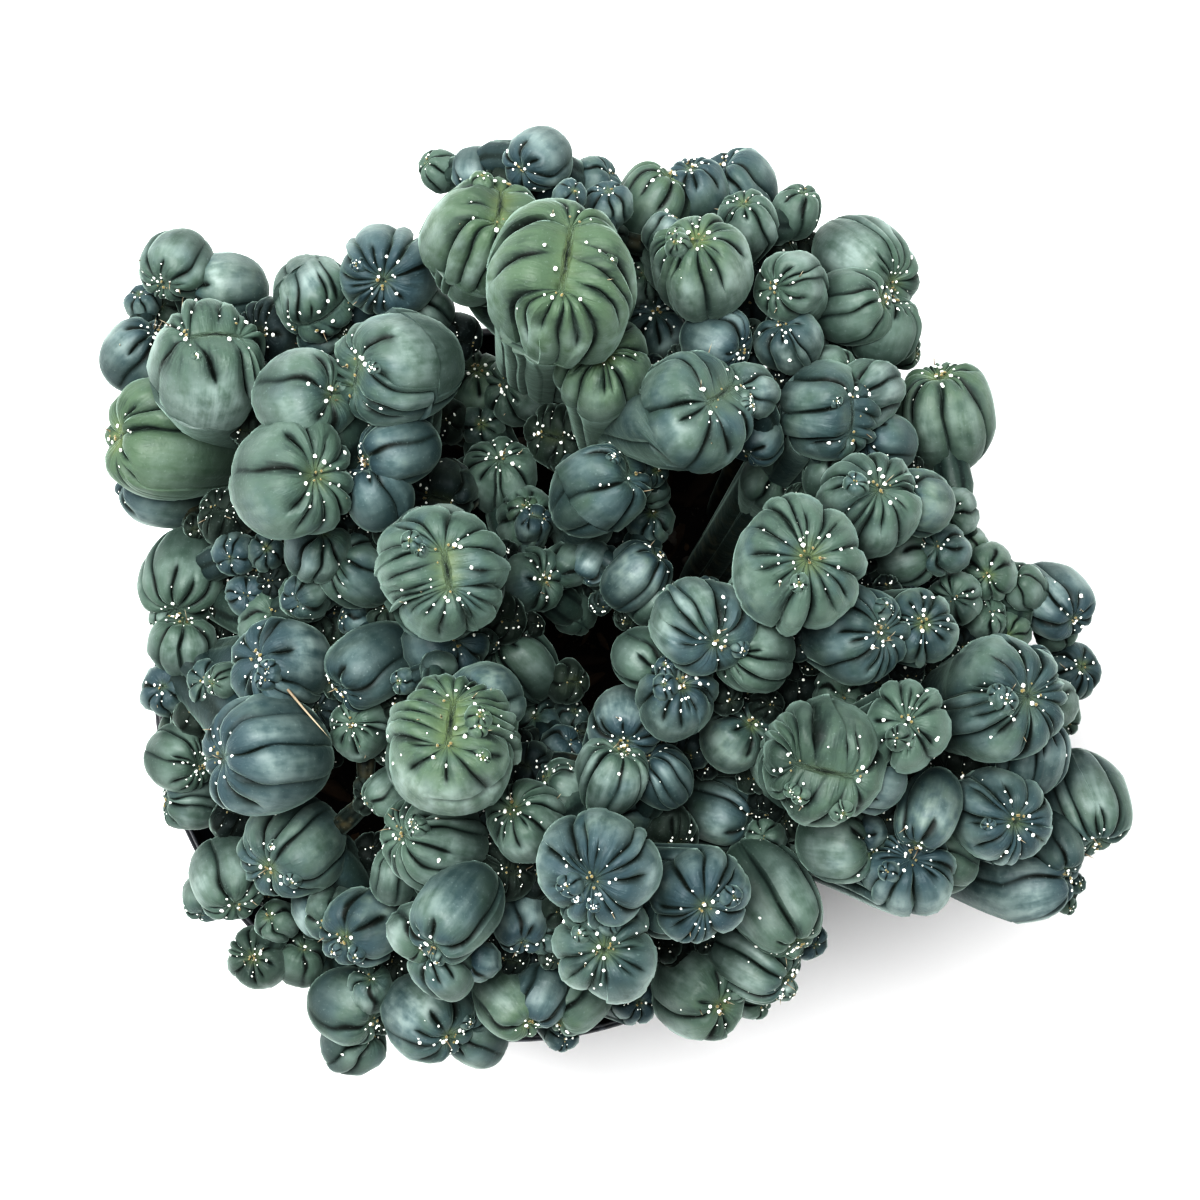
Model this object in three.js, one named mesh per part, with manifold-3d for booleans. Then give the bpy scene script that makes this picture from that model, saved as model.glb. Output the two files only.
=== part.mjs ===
// A monstrose blue torch cactus in a round nursery pot.
// Millimetres, +Z up, with the origin at the centre of the pot's underside.

import * as THREE from 'three';
import { mergeVertices } from 'three/addons/utils/BufferGeometryUtils.js';
import Module from 'manifold-3d';

const wasm = await Module();
wasm.setup();

// The pot
const RIM_RADIUS = 107.5;
const BASE_RADIUS = 76;
const POT_HEIGHT = 170;
const WALL = 2;
const RIM_DROP = 13;
const RIM_LIP = 3.5;
const POT_SIDES = 30;
const DRAIN_HOLES = 8;
const DRAIN_RADIUS = 5;
const DRAIN_CIRCLE = 60;
const DRAIN_SIDES = 6;

// The soil
const SOIL_DROP = 24;
const FIT_GAP = 0.4;
const HOLE_SIDES = 6;

// The plan of the clump, drawn looking straight down from an eye above the pot.
// One plan unit is PLAN_UNIT at the height of the rim, and less on what stands nearer to the eye.
const PLAN_UNIT = 0.3;
const PLAN_EYE = [600, 600];
const PLAN_POT = [512, 685];
const EYE_ABOVE_RIM = 1200;

// The stems
const FOOT_RADIUS = 7;
const FOOT_DEPTH = 30;
const FOOT_SHOW = 2;
const LIMB_SIDES = 4;
const TRUNK_SIDES = 6;
const LOWEST_FORK = 16;
const LIMB_TOP = 0.8;
const LIMB_ROOT = 0.65;
const NECK_DROP = 1.0;
const TRUNK_SWELL = 0.35;
const TRUNK_SPREAD = 1;
const SHARPEST_NECK = 0.9;
const SHARPEST_BEND = 1.5;
const LOBE_DROP = 0.85;
const LOBE_NECK = 0.5;
const FUSED_REACH = 0.86;
const FUSED_BUD = 0.7;
const BUD_SINK = 0.6;
const STEM_GAP = 0.3;
const JOIN_TOLERANCE = 0.02;
const CUT_WIDTHS = [1.1, 1.6, 2.4];

// The heads
const RIB_UNEVEN = 0.5;
const CREASE_DEPTH = 0.14;
const LOBE_SWELL = 0.05;
const APEX_DIP = 0.93;
const CREST_END = 0.5;
const HEAD_TILTS = [0.6, 1.5];
const NODULE_TILTS = [0.9];
const NODULE_RADIUS = 7.6;
const SMALLEST_BUILT_HEAD = 5.3;
const SMALLEST_BRANCH_HEAD = 7;
const RIBS_PER_RADIUS = 0.62;
const MOST_RIBS = 9;
const TUFT_RADIUS = 1.7;
const SMALLEST_TUFTED_HEAD = 14;

const RIM_Z = POT_HEIGHT;
const SOIL_Z = POT_HEIGHT - SOIL_DROP;

const potMaterial = new THREE.MeshStandardMaterial({ color: 0x15181c, roughness: 0.45, metalness: 0 });
const soilMaterial = new THREE.MeshStandardMaterial({ color: 0x2a211b, roughness: 0.95, metalness: 0 });
const skinMaterial = new THREE.MeshStandardMaterial({ color: 0x6f8c82, roughness: 0.6, metalness: 0 });

// One head: plan place, rise of its middle above the rim, radius, rib count and plan place of its apex.
// A long head has a stretch over 1, and a crested one has a second plan place where its crest line ends.
const head = (x, y, rise, radius, ribs, apex, { stretch = 1, crest = apex } = {}) =>
  ({ x, y, rise, radius, ribs, apex, stretch, crest });

// Each stem has a foot, in millimetres from the pot's middle, and its heads, the main one first.
const STEMS = {
  north_west: {
    foot: [-62, 52],
    heads: [
      head(205, 374, 96, 15.5, 11, [192, 338], { stretch: 1.25, crest: [250, 336] }),
      head(178, 264, 72, 9.5, 8, [168, 297]),
      head(228, 290, 68, 10.2, 6, [170, 292], { stretch: 1.1 }),
      head(143, 304, 60, 4.8, 5, [140, 300]),
      head(136, 357, 70, 9.5, 6, [158, 332], { stretch: 1.1 }),
      head(178, 440, 74, 16, 7, [118, 437], { stretch: 1.2 }),
      head(172, 482, 54, 12.4, 7, [118, 478], { stretch: 1.2 }),
    ],
  },
  west_crown: {
    foot: [-34, 58],
    heads: [
      head(395, 367, 128, 14.6, 9, [357, 366], { crest: [352, 388] }),
      head(303, 397, 124, 12.5, 6, [343, 395]),
      head(290, 478, 126, 15.5, 8, [345, 452]),
      head(402, 450, 122, 9.5, 5, [362, 462], { stretch: 1.15 }),
      head(379, 497, 120, 9.2, 6, [364, 463], { stretch: 1.05 }),
    ],
  },
  north_saddle: {
    foot: [-30, 82],
    heads: [
      head(316, 297, 92, 10.5, 12, [292, 333], { crest: [350, 292] }),
      head(390, 272, 96, 12.5, 9, [385, 284]),
      head(425, 308, 86, 8, 5, [400, 298]),
      head(320, 340, 84, 6.3, 5, [326, 318]),
    ],
  },
  north_tall: {
    foot: [10, 78],
    heads: [
      head(560, 288, 140, 19, 13, [573, 224], { stretch: 1.22, crest: [562, 300] }),
      head(480, 248, 122, 14.5, 8, [505, 186], { stretch: 1.4, crest: [500, 230] }),
      head(539, 159, 112, 8.5, 5, [520, 172]),
      head(476, 168, 100, 6.2, 4, [490, 180]),
      head(443, 172, 90, 5.5, 5, [440, 165], { stretch: 1.2 }),
      head(592, 183, 96, 6.8, 4, [600, 172]),
      head(569, 198, 130, 4.6, 4, [572, 206]),
      head(609, 206, 122, 6, 6, [602, 205]),
    ],
  },
  north_ridge: {
    foot: [50, 70],
    heads: [
      head(650, 212, 88, 9.8, 6, [672, 176], { stretch: 1.3 }),
      head(698, 195, 84, 8.2, 7, [690, 168], { stretch: 1.2 }),
      head(740, 190, 72, 9.8, 4, [722, 165], { stretch: 1.1 }),
      head(702, 272, 118, 12.6, 11, [695, 241], { stretch: 1.2 }),
      head(664, 236, 104, 6, 5, [680, 228]),
      head(750, 228, 96, 7.8, 7, [742, 204], { stretch: 1.4 }),
      head(794, 217, 86, 6.6, 6, [795, 196], { stretch: 1.35 }),
    ],
  },
  north_east: {
    foot: [65, 50],
    heads: [
      head(862, 264, 78, 12.5, 9, [892, 288], { stretch: 1.2 }),
      head(850, 307, 92, 10, 5, [884, 300], { stretch: 1.1 }),
      head(880, 332, 84, 9.6, 7, [892, 300], { stretch: 1.1 }),
      head(792, 285, 108, 9.2, 7, [772, 290]),
      head(789, 342, 104, 8.6, 7, [780, 325]),
      head(903, 352, 70, 4.5, 4, [910, 352]),
    ],
  },
  centre_north: {
    foot: [36, 40],
    heads: [
      head(604, 372, 122, 12.6, 10, [602, 354]),
      head(690, 415, 130, 14.8, 11, [712, 402], { crest: [735, 385] }),
      head(750, 393, 122, 7.5, 6, [733, 392]),
      head(716, 340, 112, 8.8, 6, [742, 352]),
      head(758, 438, 112, 6.8, 6, [746, 434]),
      head(652, 330, 84, 9.4, 7, [655, 312]),
      head(638, 285, 88, 6, 5, [645, 275]),
    ],
  },
  centre_knot: {
    foot: [6, 24],
    heads: [
      head(598, 490, 106, 11.5, 8, [631, 480], { stretch: 1.2, crest: [632, 445] }),
      head(646, 470, 100, 5, 5, [632, 478], { stretch: 1.2 }),
      head(641, 446, 102, 3.8, 4, [630, 450]),
      head(656, 492, 94, 4.2, 4, [640, 494]),
      head(624, 428, 104, 4.2, 4, [622, 424]),
      head(650, 522, 78, 6.5, 5, [650, 520]),
      head(632, 580, 84, 8.5, 6, [660, 553], { stretch: 1.3 }),
      head(652, 602, 80, 7.5, 5, [668, 575]),
      head(592, 560, 82, 6, 4, [604, 588], { stretch: 1.1 }),
    ],
  },
  centre_crown: {
    foot: [42, 6],
    heads: [
      head(700, 622, 128, 12.8, 7, [716, 645], { stretch: 1.05 }),
      head(755, 652, 122, 10.5, 9, [727, 650]),
      head(641, 658, 118, 8.2, 6, [662, 672]),
      head(676, 698, 120, 10.8, 9, [682, 676]),
      head(737, 738, 98, 9.4, 6, [752, 722]),
    ],
  },
  south_heart: {
    foot: [-22, -14],
    heads: [
      head(452, 748, 132, 17, 14, [450, 738], { crest: [455, 700] }),
      head(488, 700, 124, 9.8, 6, [462, 702]),
      head(437, 668, 112, 4.8, 4, [448, 682]),
      head(405, 681, 108, 3.6, 4, [408, 678]),
      head(520, 668, 82, 10, 8, [498, 640], { stretch: 1.1 }),
    ],
  },
  south_knot: {
    foot: [12, -26],
    heads: [
      head(612, 775, 108, 9.4, 8, [622, 748]),
      head(662, 778, 102, 8.2, 7, [645, 755]),
      head(625, 722, 104, 9.5, 7, [624, 742]),
      head(632, 812, 92, 6, 5, [625, 800]),
      head(528, 822, 106, 10.4, 9, [512, 806], { stretch: 1.05 }),
      head(566, 788, 100, 7.4, 7, [545, 776], { stretch: 1.05 }),
      head(560, 748, 84, 5.8, 3, [570, 740]),
      head(540, 722, 74, 6.5, 4, [535, 715]),
      head(570, 718, 74, 5.2, 3, [575, 710]),
    ],
  },
  south_shade: {
    foot: [42, -40],
    heads: [
      head(718, 812, 70, 10.5, 9, [752, 822], { stretch: 1.1 }),
      head(766, 838, 76, 5.6, 6, [757, 832]),
      head(790, 862, 72, 4.6, 4, [795, 858]),
    ],
  },
  east_crown: {
    foot: [60, -28],
    heads: [
      head(822, 760, 124, 16, 13, [848, 775], { crest: [795, 763] }),
      head(876, 782, 118, 8, 6, [852, 778]),
      head(908, 726, 122, 11.4, 9, [904, 720]),
      head(838, 692, 98, 7, 3, [842, 695]),
    ],
  },
  east_rose: {
    foot: [62, 8],
    heads: [
      head(797, 566, 134, 17, 11, [806, 558]),
      head(855, 635, 118, 12.4, 10, [882, 632], { stretch: 1.05 }),
      head(920, 628, 112, 9.8, 9, [921, 622]),
    ],
  },
  east_fan: {
    foot: [79, 29],
    heads: [
      head(868, 505, 116, 13, 11, [878, 488], { stretch: 1.1 }),
      head(922, 502, 110, 8.8, 5, [897, 497]),
      head(900, 556, 92, 8.6, 4, [930, 548], { stretch: 1.1 }),
      head(943, 550, 94, 7.2, 6, [934, 546]),
      head(832, 474, 94, 8, 5, [845, 450]),
    ],
  },
  north_fan: {
    foot: [57, 29],
    heads: [
      head(822, 410, 104, 12.4, 8, [852, 400], { stretch: 1.2, crest: [850, 440] }),
      head(870, 392, 102, 9.2, 6, [852, 402]),
      head(886, 442, 96, 8, 5, [852, 442]),
      head(830, 370, 98, 6.4, 4, [848, 372]),
      head(944, 424, 76, 12.6, 9, [936, 374], { stretch: 1.3 }),
      head(957, 512, 84, 6.2, 6, [946, 514], { stretch: 1.1 }),
      head(972, 545, 76, 4.6, 4, [975, 545]),
      head(788, 452, 80, 8, 4, [795, 440]),
      head(768, 482, 72, 8, 4, [780, 470]),
    ],
  },
  east_spur: {
    foot: [84, 6],
    heads: [
      head(955, 600, 84, 7.5, 7, [950, 598]),
      head(990, 572, 78, 7.5, 7, [985, 575]),
      head(1022, 590, 72, 6.6, 5, [1012, 575], { stretch: 1.1 }),
      head(1050, 598, 62, 10, 6, [1072, 622], { stretch: 1.25 }),
      head(984, 620, 76, 6, 5, [990, 610]),
      head(1008, 632, 70, 6.5, 5, [1012, 615]),
      head(1068, 672, 52, 7.8, 6, [1080, 665], { stretch: 1.1 }),
      head(1060, 718, 50, 5.5, 4, [1066, 720]),
      head(1056, 628, 56, 6.5, 4, [1064, 620]),
    ],
  },
  east_head: {
    foot: [82, -17],
    heads: [
      head(998, 700, 100, 16, 12, [1025, 694], { stretch: 1.1 }),
      head(1028, 755, 88, 10.5, 8, [1036, 716], { stretch: 1.05 }),
      head(975, 735, 88, 4.8, 5, [980, 725]),
      head(1038, 665, 92, 5, 5, [1030, 652]),
      head(1052, 705, 84, 7, 6, [1040, 700]),
    ],
  },
  south_east: {
    foot: [73, -41],
    heads: [
      head(998, 815, 92, 12.8, 10, [1012, 820], { stretch: 1.1 }),
      head(1080, 795, 62, 12, 8, [1095, 844], { stretch: 1.35 }),
      head(1050, 840, 70, 8, 6, [1064, 872], { stretch: 1.4 }),
      head(1015, 885, 66, 11, 5, [1068, 876], { stretch: 1.45 }),
      head(1074, 884, 56, 3, 4, [1078, 884]),
      head(1066, 904, 54, 2.8, 4, [1070, 906]),
    ],
  },
  south_east_fan: {
    foot: [59, -59],
    heads: [
      head(930, 808, 104, 8.4, 5, [915, 848], { stretch: 1.4 }),
      head(908, 870, 92, 12.4, 10, [909, 854]),
      head(838, 843, 96, 10.6, 5, [872, 846], { stretch: 1.05 }),
      head(948, 862, 86, 8.6, 5, [918, 852]),
      head(868, 832, 100, 5, 6, [860, 835]),
    ],
  },
  south_crown: {
    foot: [20, -56],
    heads: [
      head(600, 866, 130, 15, 10, [592, 878]),
      head(606, 948, 120, 13.6, 11, [604, 945]),
      head(700, 893, 112, 12.4, 9, [704, 904], { stretch: 1.05 }),
      head(662, 918, 110, 5.6, 2, [683, 922], { stretch: 1.1 }),
    ],
  },
  south_fan: {
    foot: [39, -74],
    heads: [
      head(768, 893, 80, 12, 8, [802, 950], { stretch: 1.45 }),
      head(748, 955, 68, 11, 10, [788, 978], { stretch: 1.3 }),
      head(695, 990, 62, 12, 5, [722, 1002], { stretch: 1.25 }),
      head(806, 940, 62, 5.2, 6, [810, 945], { stretch: 1.2 }),
      head(752, 1000, 52, 5, 5, [758, 1003]),
    ],
  },
  south_low: {
    foot: [-6, -82],
    heads: [
      head(508, 1000, 78, 9.2, 3, [530, 1022], { stretch: 1.2 }),
      head(542, 990, 80, 8, 3, [530, 1022], { stretch: 1.2 }),
      head(578, 1000, 74, 8.6, 4, [545, 1022], { stretch: 1.1 }),
      head(562, 1035, 58, 4.5, 5, [565, 1038]),
      head(425, 1012, 66, 11.4, 7, [452, 1035], { stretch: 1.2 }),
      head(478, 1038, 58, 8, 5, [455, 1030], { stretch: 1.1 }),
      head(470, 1005, 64, 6.5, 4, [465, 1028], { stretch: 1.2 }),
      head(632, 1000, 50, 6.6, 5, [640, 1000]),
    ],
  },
  south_west_head: {
    foot: [-22, -50],
    heads: [
      head(458, 910, 110, 11, 6, [432, 946], { stretch: 1.3 }),
      head(415, 930, 104, 7.5, 4, [425, 945], { stretch: 1.2 }),
      head(445, 968, 102, 8.5, 6, [430, 950]),
      head(480, 960, 100, 5.8, 3, [467, 958]),
      head(520, 915, 88, 7.6, 4, [524, 942], { stretch: 1.4 }),
      head(546, 938, 88, 4.6, 3, [540, 932]),
      head(438, 842, 100, 12.5, 9, [400, 832], { stretch: 1.2 }),
      head(392, 790, 96, 6.4, 4, [398, 828], { stretch: 1.2 }),
      head(395, 878, 90, 7, 5, [400, 845], { stretch: 1.1 }),
    ],
  },
  south_west: {
    foot: [-54, -58],
    heads: [
      head(365, 925, 76, 11, 5, [345, 935], { stretch: 1.1 }),
      head(325, 905, 66, 9, 4, [345, 925]),
      head(295, 845, 74, 13.5, 8, [270, 868], { stretch: 1.05 }),
      head(228, 872, 58, 10, 6, [250, 908], { stretch: 1.35 }),
      head(205, 895, 46, 6.6, 4, [215, 890]),
      head(258, 958, 50, 8.4, 7, [255, 955]),
      head(300, 962, 48, 7, 4, [305, 945], { stretch: 1.1 }),
      head(345, 1005, 56, 10, 5, [375, 1020], { stretch: 1.1 }),
      head(352, 1042, 46, 8.8, 4, [372, 1025]),
      head(372, 990, 62, 6.8, 4, [372, 975], { stretch: 1.1 }),
      head(278, 922, 56, 6, 4, [270, 915]),
    ],
  },
  west_low: {
    foot: [-78, -30],
    heads: [
      head(182, 648, 62, 9, 6, [185, 620]),
      head(168, 690, 56, 7.4, 5, [165, 685]),
      head(214, 685, 70, 6.8, 6, [205, 680]),
      head(282, 668, 88, 13, 7, [258, 656]),
      head(268, 755, 96, 16, 7, [212, 748]),
      head(178, 758, 58, 9, 8, [202, 765]),
      head(195, 802, 50, 8, 6, [165, 800], { stretch: 1.1 }),
    ],
  },
  west_mid: {
    foot: [-80, 12],
    heads: [
      head(184, 578, 58, 12, 7, [178, 613], { stretch: 1.05 }),
      head(236, 553, 76, 6, 5, [232, 560], { stretch: 1.2 }),
      head(266, 552, 80, 5.2, 5, [268, 548], { stretch: 1.1 }),
      head(248, 596, 74, 6, 5, [248, 595]),
      head(318, 548, 98, 9.4, 4, [325, 530]),
      head(360, 572, 92, 10, 7, [335, 556], { stretch: 1.15 }),
      head(306, 598, 84, 6.8, 4, [292, 590]),
      head(270, 622, 74, 8.5, 3, [275, 612]),
    ],
  },
  west_pair: {
    foot: [-50, -8],
    heads: [
      head(372, 665, 96, 10.5, 5, [340, 690], { stretch: 1.15 }),
      head(362, 728, 88, 8.4, 8, [352, 722]),
      head(358, 620, 84, 5, 3, [350, 625]),
    ],
  },
  west_rose: {
    foot: [-22, 22],
    heads: [
      head(442, 572, 136, 16.5, 14, [447, 555], { crest: [452, 585] }),
      head(442, 645, 100, 11, 3, [460, 640]),
    ],
  },
  inner_low: {
    foot: [-4, 52],
    heads: [
      head(475, 385, 56, 9, 6, [478, 370]),
      head(520, 392, 60, 9.8, 6, [505, 385]),
      head(482, 428, 60, 6.5, 5, [482, 425]),
      head(500, 478, 70, 9.8, 8, [500, 458], { stretch: 1.1 }),
      head(524, 520, 74, 8.6, 6, [530, 515]),
      head(530, 580, 80, 8.8, 6, [546, 580], { stretch: 1.1 }),
      head(566, 565, 80, 6.4, 4, [555, 575]),
      head(575, 612, 66, 6.5, 4, [560, 600]),
    ],
  },
};

// Repeatable noise from 0 to 1
const noise = (a, b) => {
  const wave = Math.sin(a * 12.9898 + b * 78.233) * 43758.5453;
  return wave - Math.floor(wave);
};

// A plan place at a rise above the rim, as a point
function planPoint([x, y], rise) {
  const shrink = (EYE_ABOVE_RIM - rise) / EYE_ABOVE_RIM;
  const middle = [(PLAN_EYE[0] - PLAN_POT[0]) * PLAN_UNIT, (PLAN_POT[1] - PLAN_EYE[1]) * PLAN_UNIT];
  return new THREE.Vector3(
    middle[0] + (x - PLAN_EYE[0]) * PLAN_UNIT * shrink,
    middle[1] + (PLAN_EYE[1] - y) * PLAN_UNIT * shrink,
    RIM_Z + rise);
}

// A three.js geometry as a solid for joining and cutting
function toSolid(geometry) {
  const bare = geometry.clone();
  bare.deleteAttribute('normal');
  bare.deleteAttribute('uv');
  const merged = mergeVertices(bare, 1e-4);
  const corners = merged.index.array;
  const faces = [];
  for (let i = 0; i < corners.length; i += 3) {
    const [a, b, c] = [corners[i], corners[i + 1], corners[i + 2]];
    if (a !== b && b !== c && c !== a) faces.push(a, b, c);
  }
  return new wasm.Manifold(new wasm.Mesh({
    numProp: 3,
    vertProperties: new Float32Array(merged.attributes.position.array),
    triVerts: new Uint32Array(faces),
  }));
}

// A solid back as a named mesh
function toMesh(solid, name, material) {
  const { numProp, vertProperties, triVerts } = solid.getMesh();
  const positions = new Float32Array(vertProperties.length / numProp * 3);
  for (let i = 0; i < positions.length / 3; i += 1) {
    for (let axis = 0; axis < 3; axis += 1) {
      positions[i * 3 + axis] = vertProperties[i * numProp + axis];
    }
  }
  const geometry = new THREE.BufferGeometry();
  geometry.setAttribute('position', new THREE.BufferAttribute(positions, 3));
  geometry.setIndex(new THREE.BufferAttribute(new Uint32Array(triVerts), 1));
  geometry.computeVertexNormals();
  const mesh = new THREE.Mesh(geometry, material);
  mesh.name = name;
  return mesh;
}

// A closed skin from rings listed from the top down, with a tip point or a flat lid on top.
// A ring is a list of points and of their shares of a turn, and two rings may differ in count.
function skinRings(rings, tip) {
  const points = rings.flatMap((ring) => ring.points);
  const faces = [];
  let start = 0;
  for (let row = 0; row + 1 < rings.length; row += 1) {
    const [upper, lower] = [rings[row].shares, rings[row + 1].shares];
    const below = start + upper.length;
    let [i, j] = [0, 0];
    while (i < upper.length || j < lower.length) {
      const nextUpper = i < upper.length ? (upper[i + 1] ?? 1 + upper[0]) : Infinity;
      const nextLower = j < lower.length ? (lower[j + 1] ?? 1 + lower[0]) : Infinity;
      const [a, c] = [start + i % upper.length, below + j % lower.length];
      if (nextUpper <= nextLower) {
        i += 1;
        faces.push([a, c, start + i % upper.length]);
      } else {
        j += 1;
        faces.push([a, c, below + j % lower.length]);
      }
    }
    start = below;
  }
  const top = rings[0].points.length;
  if (tip) {
    points.push(tip);
    for (let i = 0; i < top; i += 1) faces.push([points.length - 1, i, (i + 1) % top]);
  } else {
    for (let i = 1; i + 1 < top; i += 1) faces.push([0, i, i + 1]);
  }
  const bottom = rings[rings.length - 1].points.length;
  for (let i = 1; i + 1 < bottom; i += 1) faces.push([start, start + i + 1, start + i]);
  const geometry = new THREE.BufferGeometry();
  geometry.setAttribute('position', new THREE.Float32BufferAttribute(
    points.flatMap((point) => [point.x, point.y, point.z]), 3));
  geometry.setIndex(faces.flat());
  return geometry;
}

// Two unit vectors square to an axis
function acrossAxis(axis, hint = new THREE.Vector3(1, 0, 0)) {
  const first = hint.clone().addScaledVector(axis, -hint.dot(axis));
  if (first.lengthSq() < 1e-6) first.set(0, 1, 0).addScaledVector(axis, -axis.y);
  first.normalize();
  return [first, new THREE.Vector3().crossVectors(axis, first)];
}

// The direction in which a head looks when its apex or crest end shows at a plan place
function lookAt(spec, middle, place) {
  const target = planPoint(place, spec.rise);
  const reach = spec.radius * spec.stretch;
  const x = (target.x - middle.x) / reach;
  const y = (target.y - middle.y) / reach;
  const flat = Math.hypot(x, y);
  const kept = flat > 0.95 ? 0.95 / flat : 1;
  const up = Math.sqrt(1 - (flat * kept) ** 2);
  return new THREE.Vector3(x * kept, y * kept, up);
}

// How a head lies: its middle, the axis through its apex, and how far its crest line runs from the axis
function poseHead(spec) {
  const middle = planPoint([spec.x, spec.y], spec.rise);
  const start = lookAt(spec, middle, spec.apex);
  const end = lookAt(spec, middle, spec.crest);
  const axis = start.clone().add(end).normalize();
  const crestHalf = start.angleTo(end) / 2;
  const [along, side] = acrossAxis(axis, crestHalf > 0.01 ? end.clone().sub(start) : undefined);
  return { middle, axis, along, side, crestHalf };
}

// The place on the edge of the crest line, and the heading away from it, at a turn round a head
function crestSpot(crestHalf, turn) {
  const round = Math.PI * CREST_END;
  const straight = 2 * crestHalf;
  let walk = turn * 2 * (round + straight);
  if (walk < round) return [crestHalf, walk / CREST_END - Math.PI / 2];
  walk -= round;
  if (walk < straight) return [crestHalf - walk, Math.PI / 2];
  walk -= straight;
  if (walk < round) return [-crestHalf, walk / CREST_END + Math.PI / 2];
  return [walk - round - crestHalf, -Math.PI / 2];
}

// The point of a head's skin at a turn round its crest and a tilt away from it
function skinPoint(spec, pose, turn, tilt, swell) {
  const [base, heading] = crestSpot(pose.crestHalf, turn);
  const across = base + tilt * Math.cos(heading);
  const over = tilt * Math.sin(heading);
  const lean = Math.hypot(across, over);
  const flat = spec.radius * swell * (lean > 0 ? Math.sin(lean) / lean : 1);
  return pose.middle.clone()
    .addScaledVector(pose.along, across * flat)
    .addScaledVector(pose.side, over * flat)
    .addScaledVector(pose.axis, spec.radius * spec.stretch * swell * Math.cos(lean));
}

// The rings of a head: each rib has a column of points along its crown and one down the crease beside it
function headRings(spec, pose, number) {
  const ribs = Math.max(4, Math.min(spec.ribs, MOST_RIBS, Math.round(spec.radius * RIBS_PER_RADIUS)));
  const edge = (rib) => (rib + RIB_UNEVEN * noise(rib, number)) / ribs;
  return (spec.radius < NODULE_RADIUS ? NODULE_TILTS : HEAD_TILTS).map((tilt) => {
    const crease = 1 - CREASE_DEPTH * Math.exp(-tilt / 2);
    const ring = { points: [], shares: [] };
    for (let rib = 0; rib < ribs; rib += 1) {
      const crown = 1 + LOBE_SWELL * (noise(rib, number + 0.5) - 0.5);
      const last = rib + 1 < ribs ? edge(rib + 1) : 1 + edge(0);
      const middle = (edge(rib) + last) / 2;
      ring.shares.push(edge(rib), middle);
      ring.points.push(skinPoint(spec, pose, edge(rib), tilt, crease));
      ring.points.push(skinPoint(spec, pose, middle % 1, tilt, crown));
    }
    return ring;
  });
}

// A ring of a limb, square to the way that the limb runs
function limbRing(pose, place, turned, radius, sides) {
  const shares = Array.from({ length: sides }, (_, i) => (i + 0.3) / sides);
  const points = shares.map((share) => {
    const heading = 2 * Math.PI * share - Math.PI / 2;
    return pose.along.clone().multiplyScalar(radius * Math.cos(heading))
      .addScaledVector(pose.side, radius * Math.sin(heading))
      .applyQuaternion(turned).add(place);
  });
  return { shares, points };
}

// How far the way to a root turns from the underside of a head, and the pose of a ring on that way
function wayDown(pose, root) {
  const back = pose.axis.clone().negate();
  const way = root.clone().sub(pose.middle).normalize();
  const bend = back.angleTo(way);
  const turned = new THREE.Quaternion().setFromUnitVectors(back, way);
  return { back, bend, turned };
}

// A head turned until its underside faces its root well enough
function facedAway(pose, root) {
  const { bend, turned } = wayDown(pose, root);
  if (bend <= SHARPEST_BEND) return pose;
  const fix = new THREE.Quaternion().slerp(turned, 1 - SHARPEST_BEND / bend);
  const [axis, along, side] = [pose.axis, pose.along, pose.side].map((arm) => arm.clone().applyQuaternion(fix));
  return { ...pose, axis, along, side };
}

// The ring that closes a lobe which sits against a bigger head
function lobeRing(spec, pose, root) {
  const { back, bend, turned } = wayDown(pose, root);
  const part = new THREE.Quaternion().slerp(turned, Math.min(1, SHARPEST_NECK / Math.max(bend, 0.01)));
  const place = back.applyQuaternion(part).multiplyScalar(LOBE_DROP * spec.radius).add(pose.middle);
  return limbRing(pose, place, part, LOBE_NECK * spec.radius, LIMB_SIDES);
}

// The rings of the limb that leaves a head's underside and runs down to its root
function limbRings(spec, pose, root, rootRadius, sides) {
  const { back, bend, turned } = wayDown(pose, root);
  const part = new THREE.Quaternion().slerp(turned, Math.min(1, SHARPEST_NECK / Math.max(bend, 0.01)));
  const neck = back.clone().applyQuaternion(part).multiplyScalar(NECK_DROP * spec.radius).add(pose.middle);
  const ring = limbRing(pose, neck, part, LIMB_TOP * spec.radius, sides);
  return [ring, limbRing(pose, root, turned, rootRadius, sides)];
}

// The small knob of wool on an apex
function tuftSolid(tip, axis) {
  const knob = new THREE.OctahedronGeometry(TUFT_RADIUS);
  knob.lookAt(axis);
  knob.translate(tip.x, tip.y, tip.z);
  return toSolid(knob);
}

// A head and what it stands on, as one skin
function headSolid(spec, pose, number, lowerRings) {
  const tip = pose.middle.clone().addScaledVector(pose.axis, spec.radius * spec.stretch * APEX_DIP);
  const solid = toSolid(skinRings([...headRings(spec, pose, number), ...lowerRings], tip));
  return spec.radius < SMALLEST_TUFTED_HEAD ? solid : solid.add(tuftSolid(tip, pose.axis));
}

// An upright prism
function uprightPrism(x, y, bottom, top, radius, sides) {
  const prism = new THREE.CylinderGeometry(radius, radius, top - bottom, sides);
  prism.rotateX(Math.PI / 2);
  prism.translate(x, y, (bottom + top) / 2);
  return toSolid(prism);
}

// The nearest points of two straight lengths, as shares of each
function nearestShares(a, b) {
  const p = a.end.clone().sub(a.start);
  const q = b.end.clone().sub(b.start);
  const between = a.start.clone().sub(b.start);
  const [pp, qq, pq] = [p.lengthSq() || 1e-9, q.lengthSq() || 1e-9, p.dot(q)];
  const [pr, qr] = [p.dot(between), q.dot(between)];
  const cross = pp * qq - pq * pq;
  const bound = (value) => Math.min(1, Math.max(0, value));
  let s = cross > 1e-6 ? bound((pq * qr - qq * pr) / cross) : 0;
  const t = bound((pq * s + qr) / qq);
  s = bound((pq * t - pr) / pp);
  return [s, t];
}

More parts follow.
